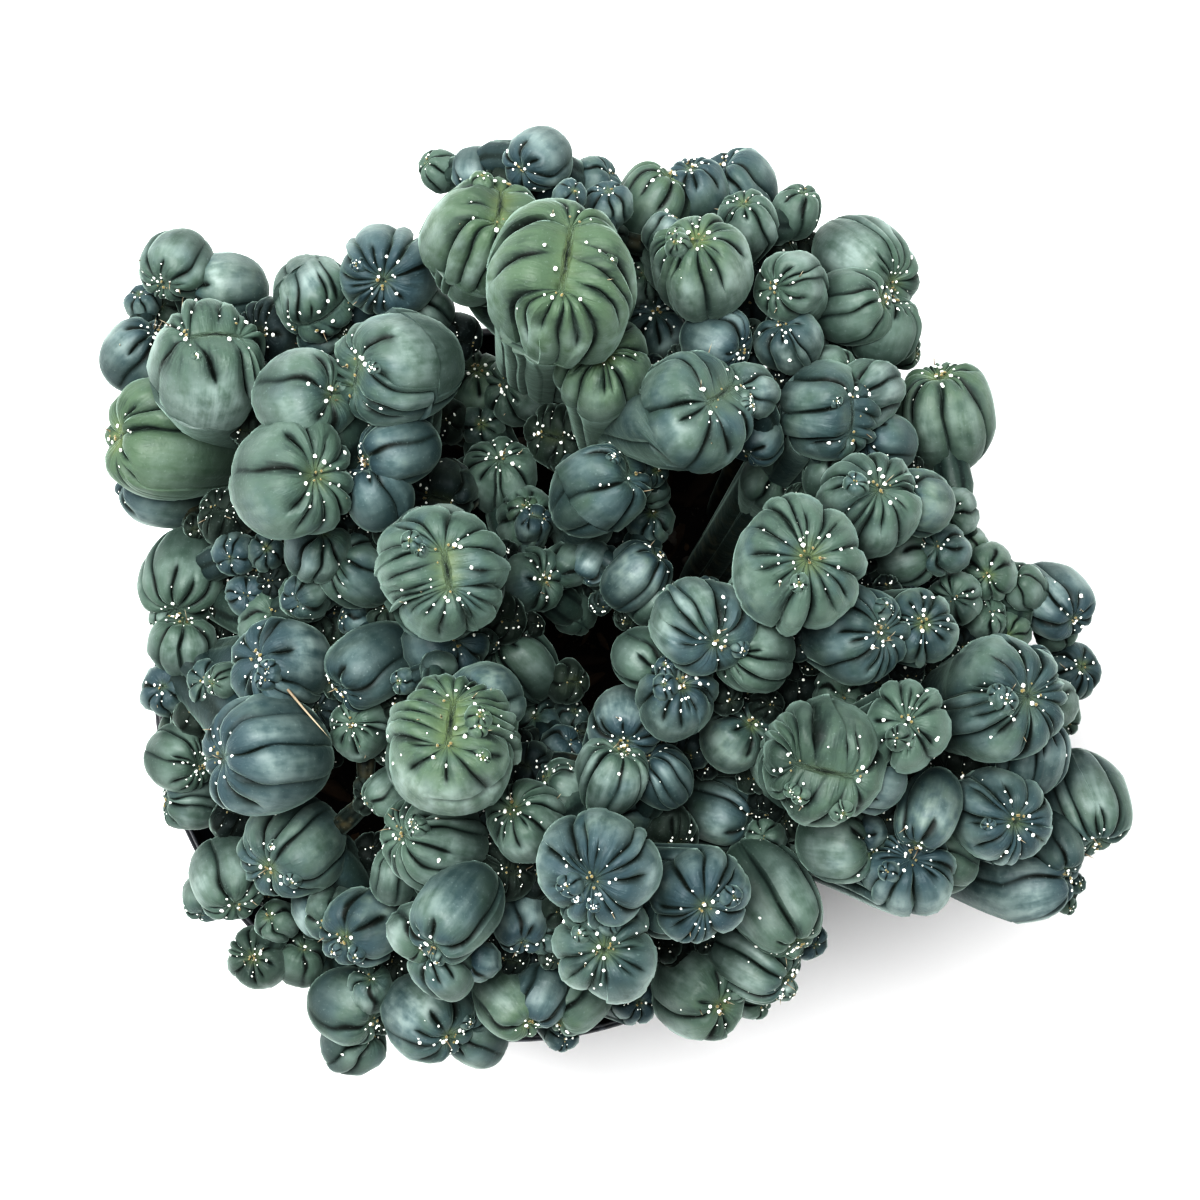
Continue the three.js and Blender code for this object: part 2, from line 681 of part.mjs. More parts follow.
// How deep two lengths run into each other, and where
function meeting(a, b) {
  const [s, t] = nearestShares(a, b);
  const onA = a.start.clone().lerp(a.end, s);
  const onB = b.start.clone().lerp(b.end, t);
  const radiusA = a.radii[0] + (a.radii[1] - a.radii[0]) * s;
  const radiusB = b.radii[0] + (b.radii[1] - b.radii[0]) * t;
  return { onA, onB, radiusA, radiusB, depth: radiusA + radiusB - onA.distanceTo(onB) };
}

// A block that starts beside a plane and runs away from it, wide enough to take off a bulge of a radius
function cuttingBlock(centre, normal, plane, radius) {
  const bulge = Math.max(radius - plane, 0) + STEM_GAP + 2;
  const width = 2 * (Math.sqrt(Math.max(radius * radius - plane * plane, 0)) + 3);
  const block = new THREE.BoxGeometry(width, width, bulge);
  block.translate(0, 0, plane - STEM_GAP / 2 + bulge / 2);
  block.lookAt(normal);
  block.translate(centre.x, centre.y, centre.z);
  return toSolid(block);
}

// Where pieces of different stems meet, each is flattened on its own side of a plane between them.
// A cut that proves too small is made again, wider.
function partPieces(a, b) {
  const meetings = a.lengths.flatMap((one) => b.lengths.map((other) => meeting(one, other)));
  meetings.sort((p, q) => q.depth - p.depth);
  for (const width of CUT_WIDTHS) {
    for (const { onA, onB, radiusA, radiusB } of meetings) {
      if (a.solid.minGap(b.solid, STEM_GAP) >= STEM_GAP) return;
      const normal = onB.clone().sub(onA);
      const apart = normal.length();
      normal.normalize();
      const share = (apart * apart + radiusA * radiusA - radiusB * radiusB) / (2 * apart);
      const plane = Math.min(0.75 * apart, Math.max(0.25 * apart, share));
      const back = normal.clone().negate();
      a.solid = a.solid.subtract(cuttingBlock(onA, normal, plane, radiusA * width));
      b.solid = b.solid.subtract(cuttingBlock(onB, back, apart - plane, radiusB * width));
    }
  }
}

// How thick a trunk may grow before it meets the next one
function roomRound(foot) {
  const others = Object.values(STEMS).map((stem) => stem.foot).filter((other) => other !== foot);
  const nearest = Math.min(...others.map((other) => Math.hypot(other[0] - foot[0], other[1] - foot[1])));
  return Math.max(FOOT_RADIUS, nearest / 2 + TRUNK_SPREAD);
}

// The pieces that make up a stem, before its neighbours are cleared: each a head with its limb
function stemPieces(name, { foot, heads }, firstNumber) {
  const posed = heads.map((spec, i) => ({ spec, pose: poseHead(spec), number: firstNumber + i }));
  const [main, ...others] = posed;
  const base = new THREE.Vector3(foot[0], foot[1], SOIL_Z + FOOT_SHOW);
  const crown = main.pose.middle;
  const piece = ({ spec, pose, number }, lowerRings, limb) => {
    const half = spec.radius * Math.max(0, spec.stretch - 1);
    const start = pose.middle.clone().addScaledVector(pose.axis, -half);
    const end = pose.middle.clone().addScaledVector(pose.axis, half);
    const lengths = [{ start, end, radii: [spec.radius, spec.radius] }, ...limb];
    return { name, lengths, solid: headSolid(spec, pose, number, lowerRings) };
  };
  const [neck, above] = limbRings(main.spec, main.pose, base, FOOT_RADIUS, TRUNK_SIDES);
  const levelled = (z) => {
    const points = above.points.map(({ x, y }) => {
      const [across, up] = [x - foot[0], y - foot[1]];
      const grow = FOOT_RADIUS / Math.hypot(across, up);
      return new THREE.Vector3(foot[0] + across * grow, foot[1] + up * grow, z);
    });
    return { shares: above.shares, points };
  };
  const trunk = { start: base, end: crown, radii: [FOOT_RADIUS, LIMB_TOP * main.spec.radius] };
  const swell = levelled(base.z);
  const room = Math.min(LIMB_TOP * main.spec.radius, roomRound(foot));
  swell.points = swell.points.map((point) => point.clone()
    .sub(base).multiplyScalar(room / FOOT_RADIUS).add(base.clone().lerp(crown, TRUNK_SWELL)));
  const pieces = [piece(main, [neck, swell, levelled(base.z), levelled(SOIL_Z - FOOT_DEPTH)], [trunk])];
  for (const one of others) {
    const { middle } = one.pose;
    const { radius } = one.spec;
    const reach = (other) => middle.distanceTo(other.pose.middle) / (radius + other.spec.radius);
    const bigger = posed.filter((other) => other.spec.radius > radius || other === main);
    const nearest = bigger.sort((p, q) => reach(p) - reach(q))[0];
    const apart = middle.distanceTo(nearest.pose.middle);
    const fused = apart < FUSED_REACH * nearest.spec.radius + FUSED_BUD * radius;
    const side = Math.hypot(middle.x - foot[0], middle.y - foot[1]);
    const highest = Math.min(middle.z - radius, crown.z - main.spec.radius);
    const fork = Math.max(RIM_Z + LOWEST_FORK, Math.min(highest, middle.z - side));
    const onTrunk = base.clone().lerp(crown, Math.min(0.9, (fork - base.z) / (crown.z - base.z)));
    const budding = !fused && radius < SMALLEST_BRANCH_HEAD && reach(nearest) < 1.5;
    const sunk = 1 - BUD_SINK * nearest.spec.radius / apart;
    const inNearest = middle.clone().lerp(nearest.pose.middle, Math.max(sunk, 0.5));
    const root = fused || budding ? inNearest : onTrunk;
    const rootRadius = (fused || budding ? LIMB_TOP : LIMB_ROOT) * radius;
    if (!fused) one.pose = facedAway(one.pose, root);
    const [own, far] = limbRings(one.spec, one.pose, root, rootRadius, LIMB_SIDES);
    const limb = { start: root, end: middle, radii: [rootRadius, LIMB_TOP * radius] };
    const lower = budding ? [far] : [own, far];
    if (radius < SMALLEST_BUILT_HEAD) continue;
    pieces.push(piece(one, fused ? [lobeRing(one.spec, one.pose, root)] : lower, fused ? [] : [limb]));
  }
  return pieces;
}

// Every stem as one solid, clear of the others
function buildStems() {
  let number = 0;
  const stems = Object.entries(STEMS).map(([name, stem]) => {
    const pieces = stemPieces(name, stem, number);
    number += stem.heads.length;
    return pieces;
  });
  for (let i = 0; i < stems.length; i += 1) {
    for (let j = i + 1; j < stems.length; j += 1) {
      for (const a of stems[i]) {
        for (const b of stems[j]) {
          if (a.solid.minGap(b.solid, STEM_GAP) < STEM_GAP) partPieces(a, b);
        }
      }
    }
  }
  return stems.map((pieces) => {
    const whole = wasm.Manifold.union(pieces.map((piece) => piece.solid)).setTolerance(JOIN_TOLERANCE);
    const [grown] = whole.decompose().sort((p, q) => q.volume() - p.volume());
    return toMesh(grown, `stem_${pieces[0].name}`, skinMaterial);
  });
}

// A lathed solid from a profile of radius and height pairs
function lathed(profile) {
  const points = profile.map(([radius, height]) => new THREE.Vector2(radius, height));
  const geometry = new THREE.LatheGeometry(points, POT_SIDES);
  geometry.rotateX(Math.PI / 2);
  return toSolid(geometry);
}

// The pot's inner radius at a height below the rim band
function innerRadius(height) {
  const top = RIM_RADIUS - RIM_LIP;
  return BASE_RADIUS - WALL + (top - BASE_RADIUS) * height / (POT_HEIGHT - RIM_DROP);
}

// The pot: a flat floor with drain holes near its edge, a tapered wall and a rim band
function buildPot() {
  const shoulder = POT_HEIGHT - RIM_DROP;
  const body = lathed([
    [0, 0], [BASE_RADIUS - 1.5, 0], [BASE_RADIUS, 1.5],
    [RIM_RADIUS - RIM_LIP, shoulder], [RIM_RADIUS, shoulder],
    [RIM_RADIUS, POT_HEIGHT - 1], [RIM_RADIUS - 1, POT_HEIGHT], [RIM_RADIUS - WALL, POT_HEIGHT],
    [RIM_RADIUS - WALL, shoulder + WALL], [innerRadius(shoulder), shoulder],
    [innerRadius(WALL), WALL], [0, WALL],
  ]);
  const holes = Array.from({ length: DRAIN_HOLES }, (_, i) => {
    const angle = 2 * Math.PI * i / DRAIN_HOLES;
    const [x, y] = [DRAIN_CIRCLE * Math.cos(angle), DRAIN_CIRCLE * Math.sin(angle)];
    return uprightPrism(x, y, -WALL, 2 * WALL, DRAIN_RADIUS, DRAIN_SIDES);
  });
  return toMesh(body.subtract(wasm.Manifold.union(holes)), 'pot', potMaterial);
}

// The soil, with a plain hole for the foot of each stem
function buildSoil() {
  const floor = WALL + FIT_GAP;
  const body = lathed([
    [0, floor], [innerRadius(floor) - FIT_GAP, floor], [innerRadius(SOIL_Z) - FIT_GAP, SOIL_Z], [0, SOIL_Z],
  ]);
  const holeRadius = (FOOT_RADIUS + STEM_GAP) / Math.cos(Math.PI / HOLE_SIDES);
  const holes = Object.values(STEMS).map(({ foot }) => uprightPrism(
    foot[0], foot[1], SOIL_Z - FOOT_DEPTH - FIT_GAP, POT_HEIGHT, holeRadius, HOLE_SIDES));
  return toMesh(body.subtract(wasm.Manifold.union(holes)), 'soil', soilMaterial);
}

const cactus = new THREE.Group();
cactus.name = 'potted_monstrose_blue_torch_cactus';
cactus.add(buildPot(), buildSoil(), ...buildStems());

export default cactus;
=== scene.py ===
"""A monstrose blue torch cactus in a round nursery pot, dressed over its frame."""

import logging
import math
import sys
from dataclasses import dataclass, field
from enum import Enum
from typing import Any

import bmesh
import bpy
import numpy as np
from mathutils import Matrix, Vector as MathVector

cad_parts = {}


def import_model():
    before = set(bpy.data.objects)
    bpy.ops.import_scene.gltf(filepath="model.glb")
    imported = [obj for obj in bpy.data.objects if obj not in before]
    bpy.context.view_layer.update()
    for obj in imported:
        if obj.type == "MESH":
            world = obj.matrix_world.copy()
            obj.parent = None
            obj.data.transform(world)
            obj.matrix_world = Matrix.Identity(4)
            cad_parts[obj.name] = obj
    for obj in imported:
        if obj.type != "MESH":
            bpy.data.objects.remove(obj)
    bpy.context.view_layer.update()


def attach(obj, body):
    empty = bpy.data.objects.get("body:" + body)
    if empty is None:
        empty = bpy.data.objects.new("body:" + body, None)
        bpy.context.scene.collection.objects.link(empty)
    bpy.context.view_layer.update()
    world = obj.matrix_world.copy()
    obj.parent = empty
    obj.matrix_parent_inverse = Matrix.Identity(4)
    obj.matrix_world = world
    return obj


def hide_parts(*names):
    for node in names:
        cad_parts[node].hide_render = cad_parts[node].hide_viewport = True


LOG = logging.getLogger("cactus")

MM = 0.001
TURN = 2 * math.pi
BODY = "root"

Vector = np.ndarray
Place = tuple[float, float]
Colour = tuple[float, float, float]


@dataclass(frozen=True)
class Plan:
    """The plan of the clump, drawn looking straight down from an eye above the pot, in millimetres."""

    unit: float = 0.3
    eye: Place = (600, 600)
    pot: Place = (512, 685)
    eye_above_rim: float = 1200.0
    rim_z: float = 170.0
    soil_z: float = 146.0

    @property
    def middle(self) -> Place:
        """Where the eye stands, from the middle of the pot."""
        return ((self.eye[0] - self.pot[0]) * self.unit, (self.pot[1] - self.eye[1]) * self.unit)

    def shrink(self, rise: float) -> float:
        """Return how much smaller a plan unit is at a rise above the rim."""
        return (self.eye_above_rim - rise) / self.eye_above_rim

    def point(self, place: Place, rise: float) -> Vector:
        """Find the point that shows at a plan place.

        Args:
            place: Across and down on the plan, in plan units.
            rise: Height above the rim, in millimetres.

        Returns:
            The point, in millimetres.
        """
        across = (place[0] - self.eye[0]) * self.unit * self.shrink(rise)
        up = (self.eye[1] - place[1]) * self.unit * self.shrink(rise)
        return np.array([self.middle[0] + across, self.middle[1] + up, self.rim_z + rise])

    def flat(self, point: Vector) -> Vector:
        """Return where a point shows at the height of the rim, in millimetres."""
        return (point[:2] - self.middle) / self.shrink(point[2] - self.rim_z) + self.middle


PLAN = Plan()


@dataclass(frozen=True)
class Head:
    """One lobed head: plan place, rise and radius in millimetres, ribs and the plan place of its apex."""

    x: float
    y: float
    rise: float
    radius: float
    ribs: int
    apex: Place
    stretch: float = 1.0
    crest: Place | None = None


@dataclass(frozen=True)
class Stem:
    """One stem: its foot in the soil, in millimetres from the pot's middle, and its heads, main one first."""

    name: str
    foot: Place
    heads: tuple[Head, ...]


STEMS: tuple[Stem, ...] = (
    Stem("north_west", (-62, 52), (
        Head(205, 374, 96, 15.5, 11, (192, 338), stretch=1.25, crest=(250, 336)),
        Head(178, 264, 72, 9.5, 8, (168, 297)),
        Head(228, 290, 68, 10.2, 6, (170, 292), stretch=1.1),
        Head(143, 304, 60, 4.8, 5, (140, 300)),
        Head(136, 357, 70, 9.5, 6, (158, 332), stretch=1.1),
        Head(178, 440, 74, 16, 7, (118, 437), stretch=1.2),
        Head(172, 482, 54, 12.4, 7, (118, 478), stretch=1.2),
    )),
    Stem("west_crown", (-34, 58), (
        Head(395, 367, 128, 14.6, 9, (357, 366), crest=(352, 388)),
        Head(303, 397, 124, 12.5, 6, (343, 395)),
        Head(290, 478, 126, 15.5, 8, (345, 452)),
        Head(402, 450, 122, 9.5, 5, (362, 462), stretch=1.15),
        Head(379, 497, 120, 9.2, 6, (364, 463), stretch=1.05),
    )),
    Stem("north_saddle", (-30, 82), (
        Head(316, 297, 92, 10.5, 12, (292, 333), crest=(350, 292)),
        Head(390, 272, 96, 12.5, 9, (385, 284)),
        Head(425, 308, 86, 8, 5, (400, 298)),
        Head(320, 340, 84, 6.3, 5, (326, 318)),
    )),
    Stem("north_tall", (10, 78), (
        Head(560, 288, 140, 19, 13, (573, 224), stretch=1.22, crest=(562, 300)),
        Head(480, 248, 122, 14.5, 8, (505, 186), stretch=1.4, crest=(500, 230)),
        Head(539, 159, 112, 8.5, 5, (520, 172)),
        Head(476, 168, 100, 6.2, 4, (490, 180)),
        Head(443, 172, 90, 5.5, 5, (440, 165), stretch=1.2),
        Head(592, 183, 96, 6.8, 4, (600, 172)),
        Head(569, 198, 130, 4.6, 4, (572, 206)),
        Head(609, 206, 122, 6, 6, (602, 205)),
    )),
    Stem("north_ridge", (50, 70), (
        Head(650, 212, 88, 9.8, 6, (672, 176), stretch=1.3),
        Head(698, 195, 84, 8.2, 7, (690, 168), stretch=1.2),
        Head(740, 190, 72, 9.8, 4, (722, 165), stretch=1.1),
        Head(702, 272, 118, 12.6, 11, (695, 241), stretch=1.2),
        Head(664, 236, 104, 6, 5, (680, 228)),
        Head(750, 228, 96, 7.8, 7, (742, 204), stretch=1.4),
        Head(794, 217, 86, 6.6, 6, (795, 196), stretch=1.35),
    )),
    Stem("north_east", (65, 50), (
        Head(862, 264, 78, 12.5, 9, (892, 288), stretch=1.2),
        Head(850, 307, 92, 10, 5, (884, 300), stretch=1.1),
        Head(880, 332, 84, 9.6, 7, (892, 300), stretch=1.1),
        Head(792, 285, 108, 9.2, 7, (772, 290)),
        Head(789, 342, 104, 8.6, 7, (780, 325)),
        Head(903, 352, 70, 4.5, 4, (910, 352)),
    )),
    Stem("centre_north", (36, 40), (
        Head(604, 372, 122, 12.6, 10, (602, 354)),
        Head(690, 415, 130, 14.8, 11, (712, 402), crest=(735, 385)),
        Head(750, 393, 122, 7.5, 6, (733, 392)),
        Head(716, 340, 112, 8.8, 6, (742, 352)),
        Head(758, 438, 112, 6.8, 6, (746, 434)),
        Head(652, 330, 84, 9.4, 7, (655, 312)),
        Head(638, 285, 88, 6, 5, (645, 275)),
    )),
    Stem("centre_knot", (6, 24), (
        Head(598, 490, 106, 11.5, 8, (631, 480), stretch=1.2, crest=(632, 445)),
        Head(646, 470, 100, 5, 5, (632, 478), stretch=1.2),
        Head(641, 446, 102, 3.8, 4, (630, 450)),
        Head(656, 492, 94, 4.2, 4, (640, 494)),
        Head(624, 428, 104, 4.2, 4, (622, 424)),
        Head(650, 522, 78, 6.5, 5, (650, 520)),
        Head(632, 580, 84, 8.5, 6, (660, 553), stretch=1.3),
        Head(652, 602, 80, 7.5, 5, (668, 575)),
        Head(592, 560, 82, 6, 4, (604, 588), stretch=1.1),
    )),
    Stem("centre_crown", (42, 6), (
        Head(700, 622, 128, 12.8, 7, (716, 645), stretch=1.05),
        Head(755, 652, 122, 10.5, 9, (727, 650)),
        Head(641, 658, 118, 8.2, 6, (662, 672)),
        Head(676, 698, 120, 10.8, 9, (682, 676)),
        Head(737, 738, 98, 9.4, 6, (752, 722)),
    )),
    Stem("south_heart", (-22, -14), (
        Head(452, 748, 132, 17, 14, (450, 738), crest=(455, 700)),
        Head(488, 700, 124, 9.8, 6, (462, 702)),
        Head(437, 668, 112, 4.8, 4, (448, 682)),
        Head(405, 681, 108, 3.6, 4, (408, 678)),
        Head(520, 668, 82, 10, 8, (498, 640), stretch=1.1),
    )),
    Stem("south_knot", (12, -26), (
        Head(612, 775, 108, 9.4, 8, (622, 748)),
        Head(662, 778, 102, 8.2, 7, (645, 755)),
        Head(625, 722, 104, 9.5, 7, (624, 742)),
        Head(632, 812, 92, 6, 5, (625, 800)),
        Head(528, 822, 106, 10.4, 9, (512, 806), stretch=1.05),
        Head(566, 788, 100, 7.4, 7, (545, 776), stretch=1.05),
        Head(560, 748, 84, 5.8, 3, (570, 740)),
        Head(540, 722, 74, 6.5, 4, (535, 715)),
        Head(570, 718, 74, 5.2, 3, (575, 710)),
    )),
    Stem("south_shade", (42, -40), (
        Head(718, 812, 70, 10.5, 9, (752, 822), stretch=1.1),
        Head(766, 838, 76, 5.6, 6, (757, 832)),
        Head(790, 862, 72, 4.6, 4, (795, 858)),
    )),
    Stem("east_crown", (60, -28), (
        Head(822, 760, 124, 16, 13, (848, 775), crest=(795, 763)),
        Head(876, 782, 118, 8, 6, (852, 778)),
        Head(908, 726, 122, 11.4, 9, (904, 720)),
        Head(838, 692, 98, 7, 3, (842, 695)),
    )),
    Stem("east_rose", (62, 8), (
        Head(797, 566, 134, 17, 11, (806, 558)),
        Head(855, 635, 118, 12.4, 10, (882, 632), stretch=1.05),
        Head(920, 628, 112, 9.8, 9, (921, 622)),
    )),
    Stem("east_fan", (79, 29), (
        Head(868, 505, 116, 13, 11, (878, 488), stretch=1.1),
        Head(922, 502, 110, 8.8, 5, (897, 497)),
        Head(900, 556, 92, 8.6, 4, (930, 548), stretch=1.1),
        Head(943, 550, 94, 7.2, 6, (934, 546)),
        Head(832, 474, 94, 8, 5, (845, 450)),
    )),
    Stem("north_fan", (57, 29), (
        Head(822, 410, 104, 12.4, 8, (852, 400), stretch=1.2, crest=(850, 440)),
        Head(870, 392, 102, 9.2, 6, (852, 402)),
        Head(886, 442, 96, 8, 5, (852, 442)),
        Head(830, 370, 98, 6.4, 4, (848, 372)),
        Head(944, 424, 76, 12.6, 9, (936, 374), stretch=1.3),
        Head(957, 512, 84, 6.2, 6, (946, 514), stretch=1.1),
        Head(972, 545, 76, 4.6, 4, (975, 545)),
        Head(788, 452, 80, 8, 4, (795, 440)),
        Head(768, 482, 72, 8, 4, (780, 470)),
    )),
    Stem("east_spur", (84, 6), (
        Head(955, 600, 84, 7.5, 7, (950, 598)),
        Head(990, 572, 78, 7.5, 7, (985, 575)),
        Head(1022, 590, 72, 6.6, 5, (1012, 575), stretch=1.1),
        Head(1050, 598, 62, 10, 6, (1072, 622), stretch=1.25),
        Head(984, 620, 76, 6, 5, (990, 610)),
        Head(1008, 632, 70, 6.5, 5, (1012, 615)),
        Head(1068, 672, 52, 7.8, 6, (1080, 665), stretch=1.1),
        Head(1060, 718, 50, 5.5, 4, (1066, 720)),
        Head(1056, 628, 56, 6.5, 4, (1064, 620)),
    )),
    Stem("east_head", (82, -17), (
        Head(998, 700, 100, 16, 12, (1025, 694), stretch=1.1),
        Head(1028, 755, 88, 10.5, 8, (1036, 716), stretch=1.05),
        Head(975, 735, 88, 4.8, 5, (980, 725)),
        Head(1038, 665, 92, 5, 5, (1030, 652)),
        Head(1052, 705, 84, 7, 6, (1040, 700)),
    )),
    Stem("south_east", (73, -41), (
        Head(998, 815, 92, 12.8, 10, (1012, 820), stretch=1.1),
        Head(1080, 795, 62, 12, 8, (1095, 844), stretch=1.35),
        Head(1050, 840, 70, 8, 6, (1064, 872), stretch=1.4),
        Head(1015, 885, 66, 11, 5, (1068, 876), stretch=1.45),
        Head(1074, 884, 56, 3, 4, (1078, 884)),
        Head(1066, 904, 54, 2.8, 4, (1070, 906)),
    )),
    Stem("south_east_fan", (59, -59), (
        Head(930, 808, 104, 8.4, 5, (915, 848), stretch=1.4),
        Head(908, 870, 92, 12.4, 10, (909, 854)),
        Head(838, 843, 96, 10.6, 5, (872, 846), stretch=1.05),
        Head(948, 862, 86, 8.6, 5, (918, 852)),
        Head(868, 832, 100, 5, 6, (860, 835)),
    )),
    Stem("south_crown", (20, -56), (
        Head(600, 866, 130, 15, 10, (592, 878)),
        Head(606, 948, 120, 13.6, 11, (604, 945)),
        Head(700, 893, 112, 12.4, 9, (704, 904), stretch=1.05),
        Head(662, 918, 110, 5.6, 2, (683, 922), stretch=1.1),
    )),
    Stem("south_fan", (39, -74), (
        Head(768, 893, 80, 12, 8, (802, 950), stretch=1.45),
        Head(748, 955, 68, 11, 10, (788, 978), stretch=1.3),
        Head(695, 990, 62, 12, 5, (722, 1002), stretch=1.25),
        Head(806, 940, 62, 5.2, 6, (810, 945), stretch=1.2),
        Head(752, 1000, 52, 5, 5, (758, 1003)),
    )),
    Stem("south_low", (-6, -82), (
        Head(508, 1000, 78, 9.2, 3, (530, 1022), stretch=1.2),
        Head(542, 990, 80, 8, 3, (530, 1022), stretch=1.2),
        Head(578, 1000, 74, 8.6, 4, (545, 1022), stretch=1.1),
        Head(562, 1035, 58, 4.5, 5, (565, 1038)),
        Head(425, 1012, 66, 11.4, 7, (452, 1035), stretch=1.2),
        Head(478, 1038, 58, 8, 5, (455, 1030), stretch=1.1),
        Head(470, 1005, 64, 6.5, 4, (465, 1028), stretch=1.2),
        Head(632, 1000, 50, 6.6, 5, (640, 1000)),
    )),
    Stem("south_west_head", (-22, -50), (
        Head(458, 910, 110, 11, 6, (432, 946), stretch=1.3),
        Head(415, 930, 104, 7.5, 4, (425, 945), stretch=1.2),
        Head(445, 968, 102, 8.5, 6, (430, 950)),
        Head(480, 960, 100, 5.8, 3, (467, 958)),
        Head(520, 915, 88, 7.6, 4, (524, 942), stretch=1.4),
        Head(546, 938, 88, 4.6, 3, (540, 932)),
        Head(438, 842, 100, 12.5, 9, (400, 832), stretch=1.2),
        Head(392, 790, 96, 6.4, 4, (398, 828), stretch=1.2),
        Head(395, 878, 90, 7, 5, (400, 845), stretch=1.1),
    )),
    Stem("south_west", (-54, -58), (
        Head(365, 925, 76, 11, 5, (345, 935), stretch=1.1),
        Head(325, 905, 66, 9, 4, (345, 925)),
        Head(295, 845, 74, 13.5, 8, (270, 868), stretch=1.05),
        Head(228, 872, 58, 10, 6, (250, 908), stretch=1.35),
        Head(205, 895, 46, 6.6, 4, (215, 890)),
        Head(258, 958, 50, 8.4, 7, (255, 955)),
        Head(300, 962, 48, 7, 4, (305, 945), stretch=1.1),
        Head(345, 1005, 56, 10, 5, (375, 1020), stretch=1.1),
        Head(352, 1042, 46, 8.8, 4, (372, 1025)),
        Head(372, 990, 62, 6.8, 4, (372, 975), stretch=1.1),
        Head(278, 922, 56, 6, 4, (270, 915)),
    )),
    Stem("west_low", (-78, -30), (
        Head(182, 648, 62, 9, 6, (185, 620)),
        Head(168, 690, 56, 7.4, 5, (165, 685)),
        Head(214, 685, 70, 6.8, 6, (205, 680)),
        Head(282, 668, 88, 13, 7, (258, 656)),
        Head(268, 755, 96, 16, 7, (212, 748)),
        Head(178, 758, 58, 9, 8, (202, 765)),
        Head(195, 802, 50, 8, 6, (165, 800), stretch=1.1),
    )),
    Stem("west_mid", (-80, 12), (
        Head(184, 578, 58, 12, 7, (178, 613), stretch=1.05),
        Head(236, 553, 76, 6, 5, (232, 560), stretch=1.2),
        Head(266, 552, 80, 5.2, 5, (268, 548), stretch=1.1),
        Head(248, 596, 74, 6, 5, (248, 595)),
        Head(318, 548, 98, 9.4, 4, (325, 530)),
        Head(360, 572, 92, 10, 7, (335, 556), stretch=1.15),
        Head(306, 598, 84, 6.8, 4, (292, 590)),
        Head(270, 622, 74, 8.5, 3, (275, 612)),
    )),
    Stem("west_pair", (-50, -8), (
        Head(372, 665, 96, 10.5, 5, (340, 690), stretch=1.15),
        Head(362, 728, 88, 8.4, 8, (352, 722)),
        Head(358, 620, 84, 5, 3, (350, 625)),
    )),
    Stem("west_rose", (-22, 22), (
        Head(442, 572, 136, 16.5, 14, (447, 555), crest=(452, 585)),
        Head(442, 645, 100, 11, 3, (460, 640)),
    )),
    Stem("inner_low", (-4, 52), (
        Head(475, 385, 56, 9, 6, (478, 370)),
        Head(520, 392, 60, 9.8, 6, (505, 385)),
        Head(482, 428, 60, 6.5, 5, (482, 425)),
        Head(500, 478, 70, 9.8, 8, (500, 458), stretch=1.1),
        Head(524, 520, 74, 8.6, 6, (530, 515)),
        Head(530, 580, 80, 8.8, 6, (546, 580), stretch=1.1),
        Head(566, 565, 80, 6.4, 4, (555, 575)),
        Head(575, 612, 66, 6.5, 4, (560, 600)),
    )),
)

# How blue and how yellow some heads are, by the plan place of the head
TINTS: tuple[tuple[Place, tuple[float, float]], ...] = (
    ((560, 288), (0.0, 1.15)), ((480, 250), (0.05, 1.0)), ((205, 374), (0.3, 0.55)),
    ((178, 440), (0.0, 0.95)), ((303, 397), (0.45, 0.5)), ((395, 367), (0.5, 0.45)),
    ((290, 478), (0.35, 0.6)), ((610, 370), (0.1, 0.9)), ((445, 575), (0.4, 0.6)),
    ((450, 750), (0.1, 0.85)), ((700, 270), (0.15, 0.8)), ((945, 415), (0.1, 0.8)),
    ((790, 560), (0.45, 0.7)), ((690, 415), (0.5, 0.6)), ((268, 755), (0.85, 0.3)),
    ((600, 870), (0.75, 0.3)), ((860, 640), (0.7, 0.35)), ((1000, 700), (0.6, 0.45)),
    ((1080, 800), (0.5, 0.35)), ((820, 750), (0.3, 0.7)), ((700, 622), (0.6, 0.4)),
    ((610, 950), (0.6, 0.6)), ((700, 890), (0.8, 0.5)), ((542, 990), (0.8, 0.35)),
    ((425, 1012), (0.6, 0.6)), ((600, 480), (0.6, 0.4)), ((850, 307), (0.3, 0.6)),
    ((820, 400), (0.6, 0.3)),
)
TINT_REACH = 16.0
STEEPEST_LOOK = 0.95


def noise(first: float, second: float) -> float:
    """Return repeatable noise from 0 to 1."""
    wave = math.sin(first * 12.9898 + second * 78.233) * 43758.5453
    return wave - math.floor(wave)


def draws(seed: float, *throws: float) -> list[float]:
    """Return a repeatable number from 0 to 1 for each throw."""
    return [noise(seed, throw) for throw in throws]


def unit(vector: Vector) -> Vector:
    """Return a vector at length 1."""
    return vector / max(float(np.linalg.norm(vector)), 1e-9)


def smooth(low: float, high: float, value: Any) -> Any:
    """Rise smoothly from 0 at low to 1 at high."""
    share = np.clip((value - low) / (high - low), 0, 1)
    return share * share * (3 - 2 * share)


def turning(first: Vector, second: Vector, share: float = 1.0) -> tuple[np.ndarray, float]:
    """Turn one direction towards another.

    Args:
        first: The direction turned.
        second: The direction it turns to.
        share: How much of the way it turns.

    Returns:
        The turning as a matrix, and the full angle between the directions.
    """
    angle = math.acos(float(np.clip(np.dot(unit(first), unit(second)), -1, 1)))
    x, y, z = unit(np.cross(first, second))
    skew = np.array([[0, -z, y], [z, 0, -x], [-y, x, 0]])
    swing = angle * share
    return np.eye(3) + math.sin(swing) * skew + (1 - math.cos(swing)) * skew @ skew, angle


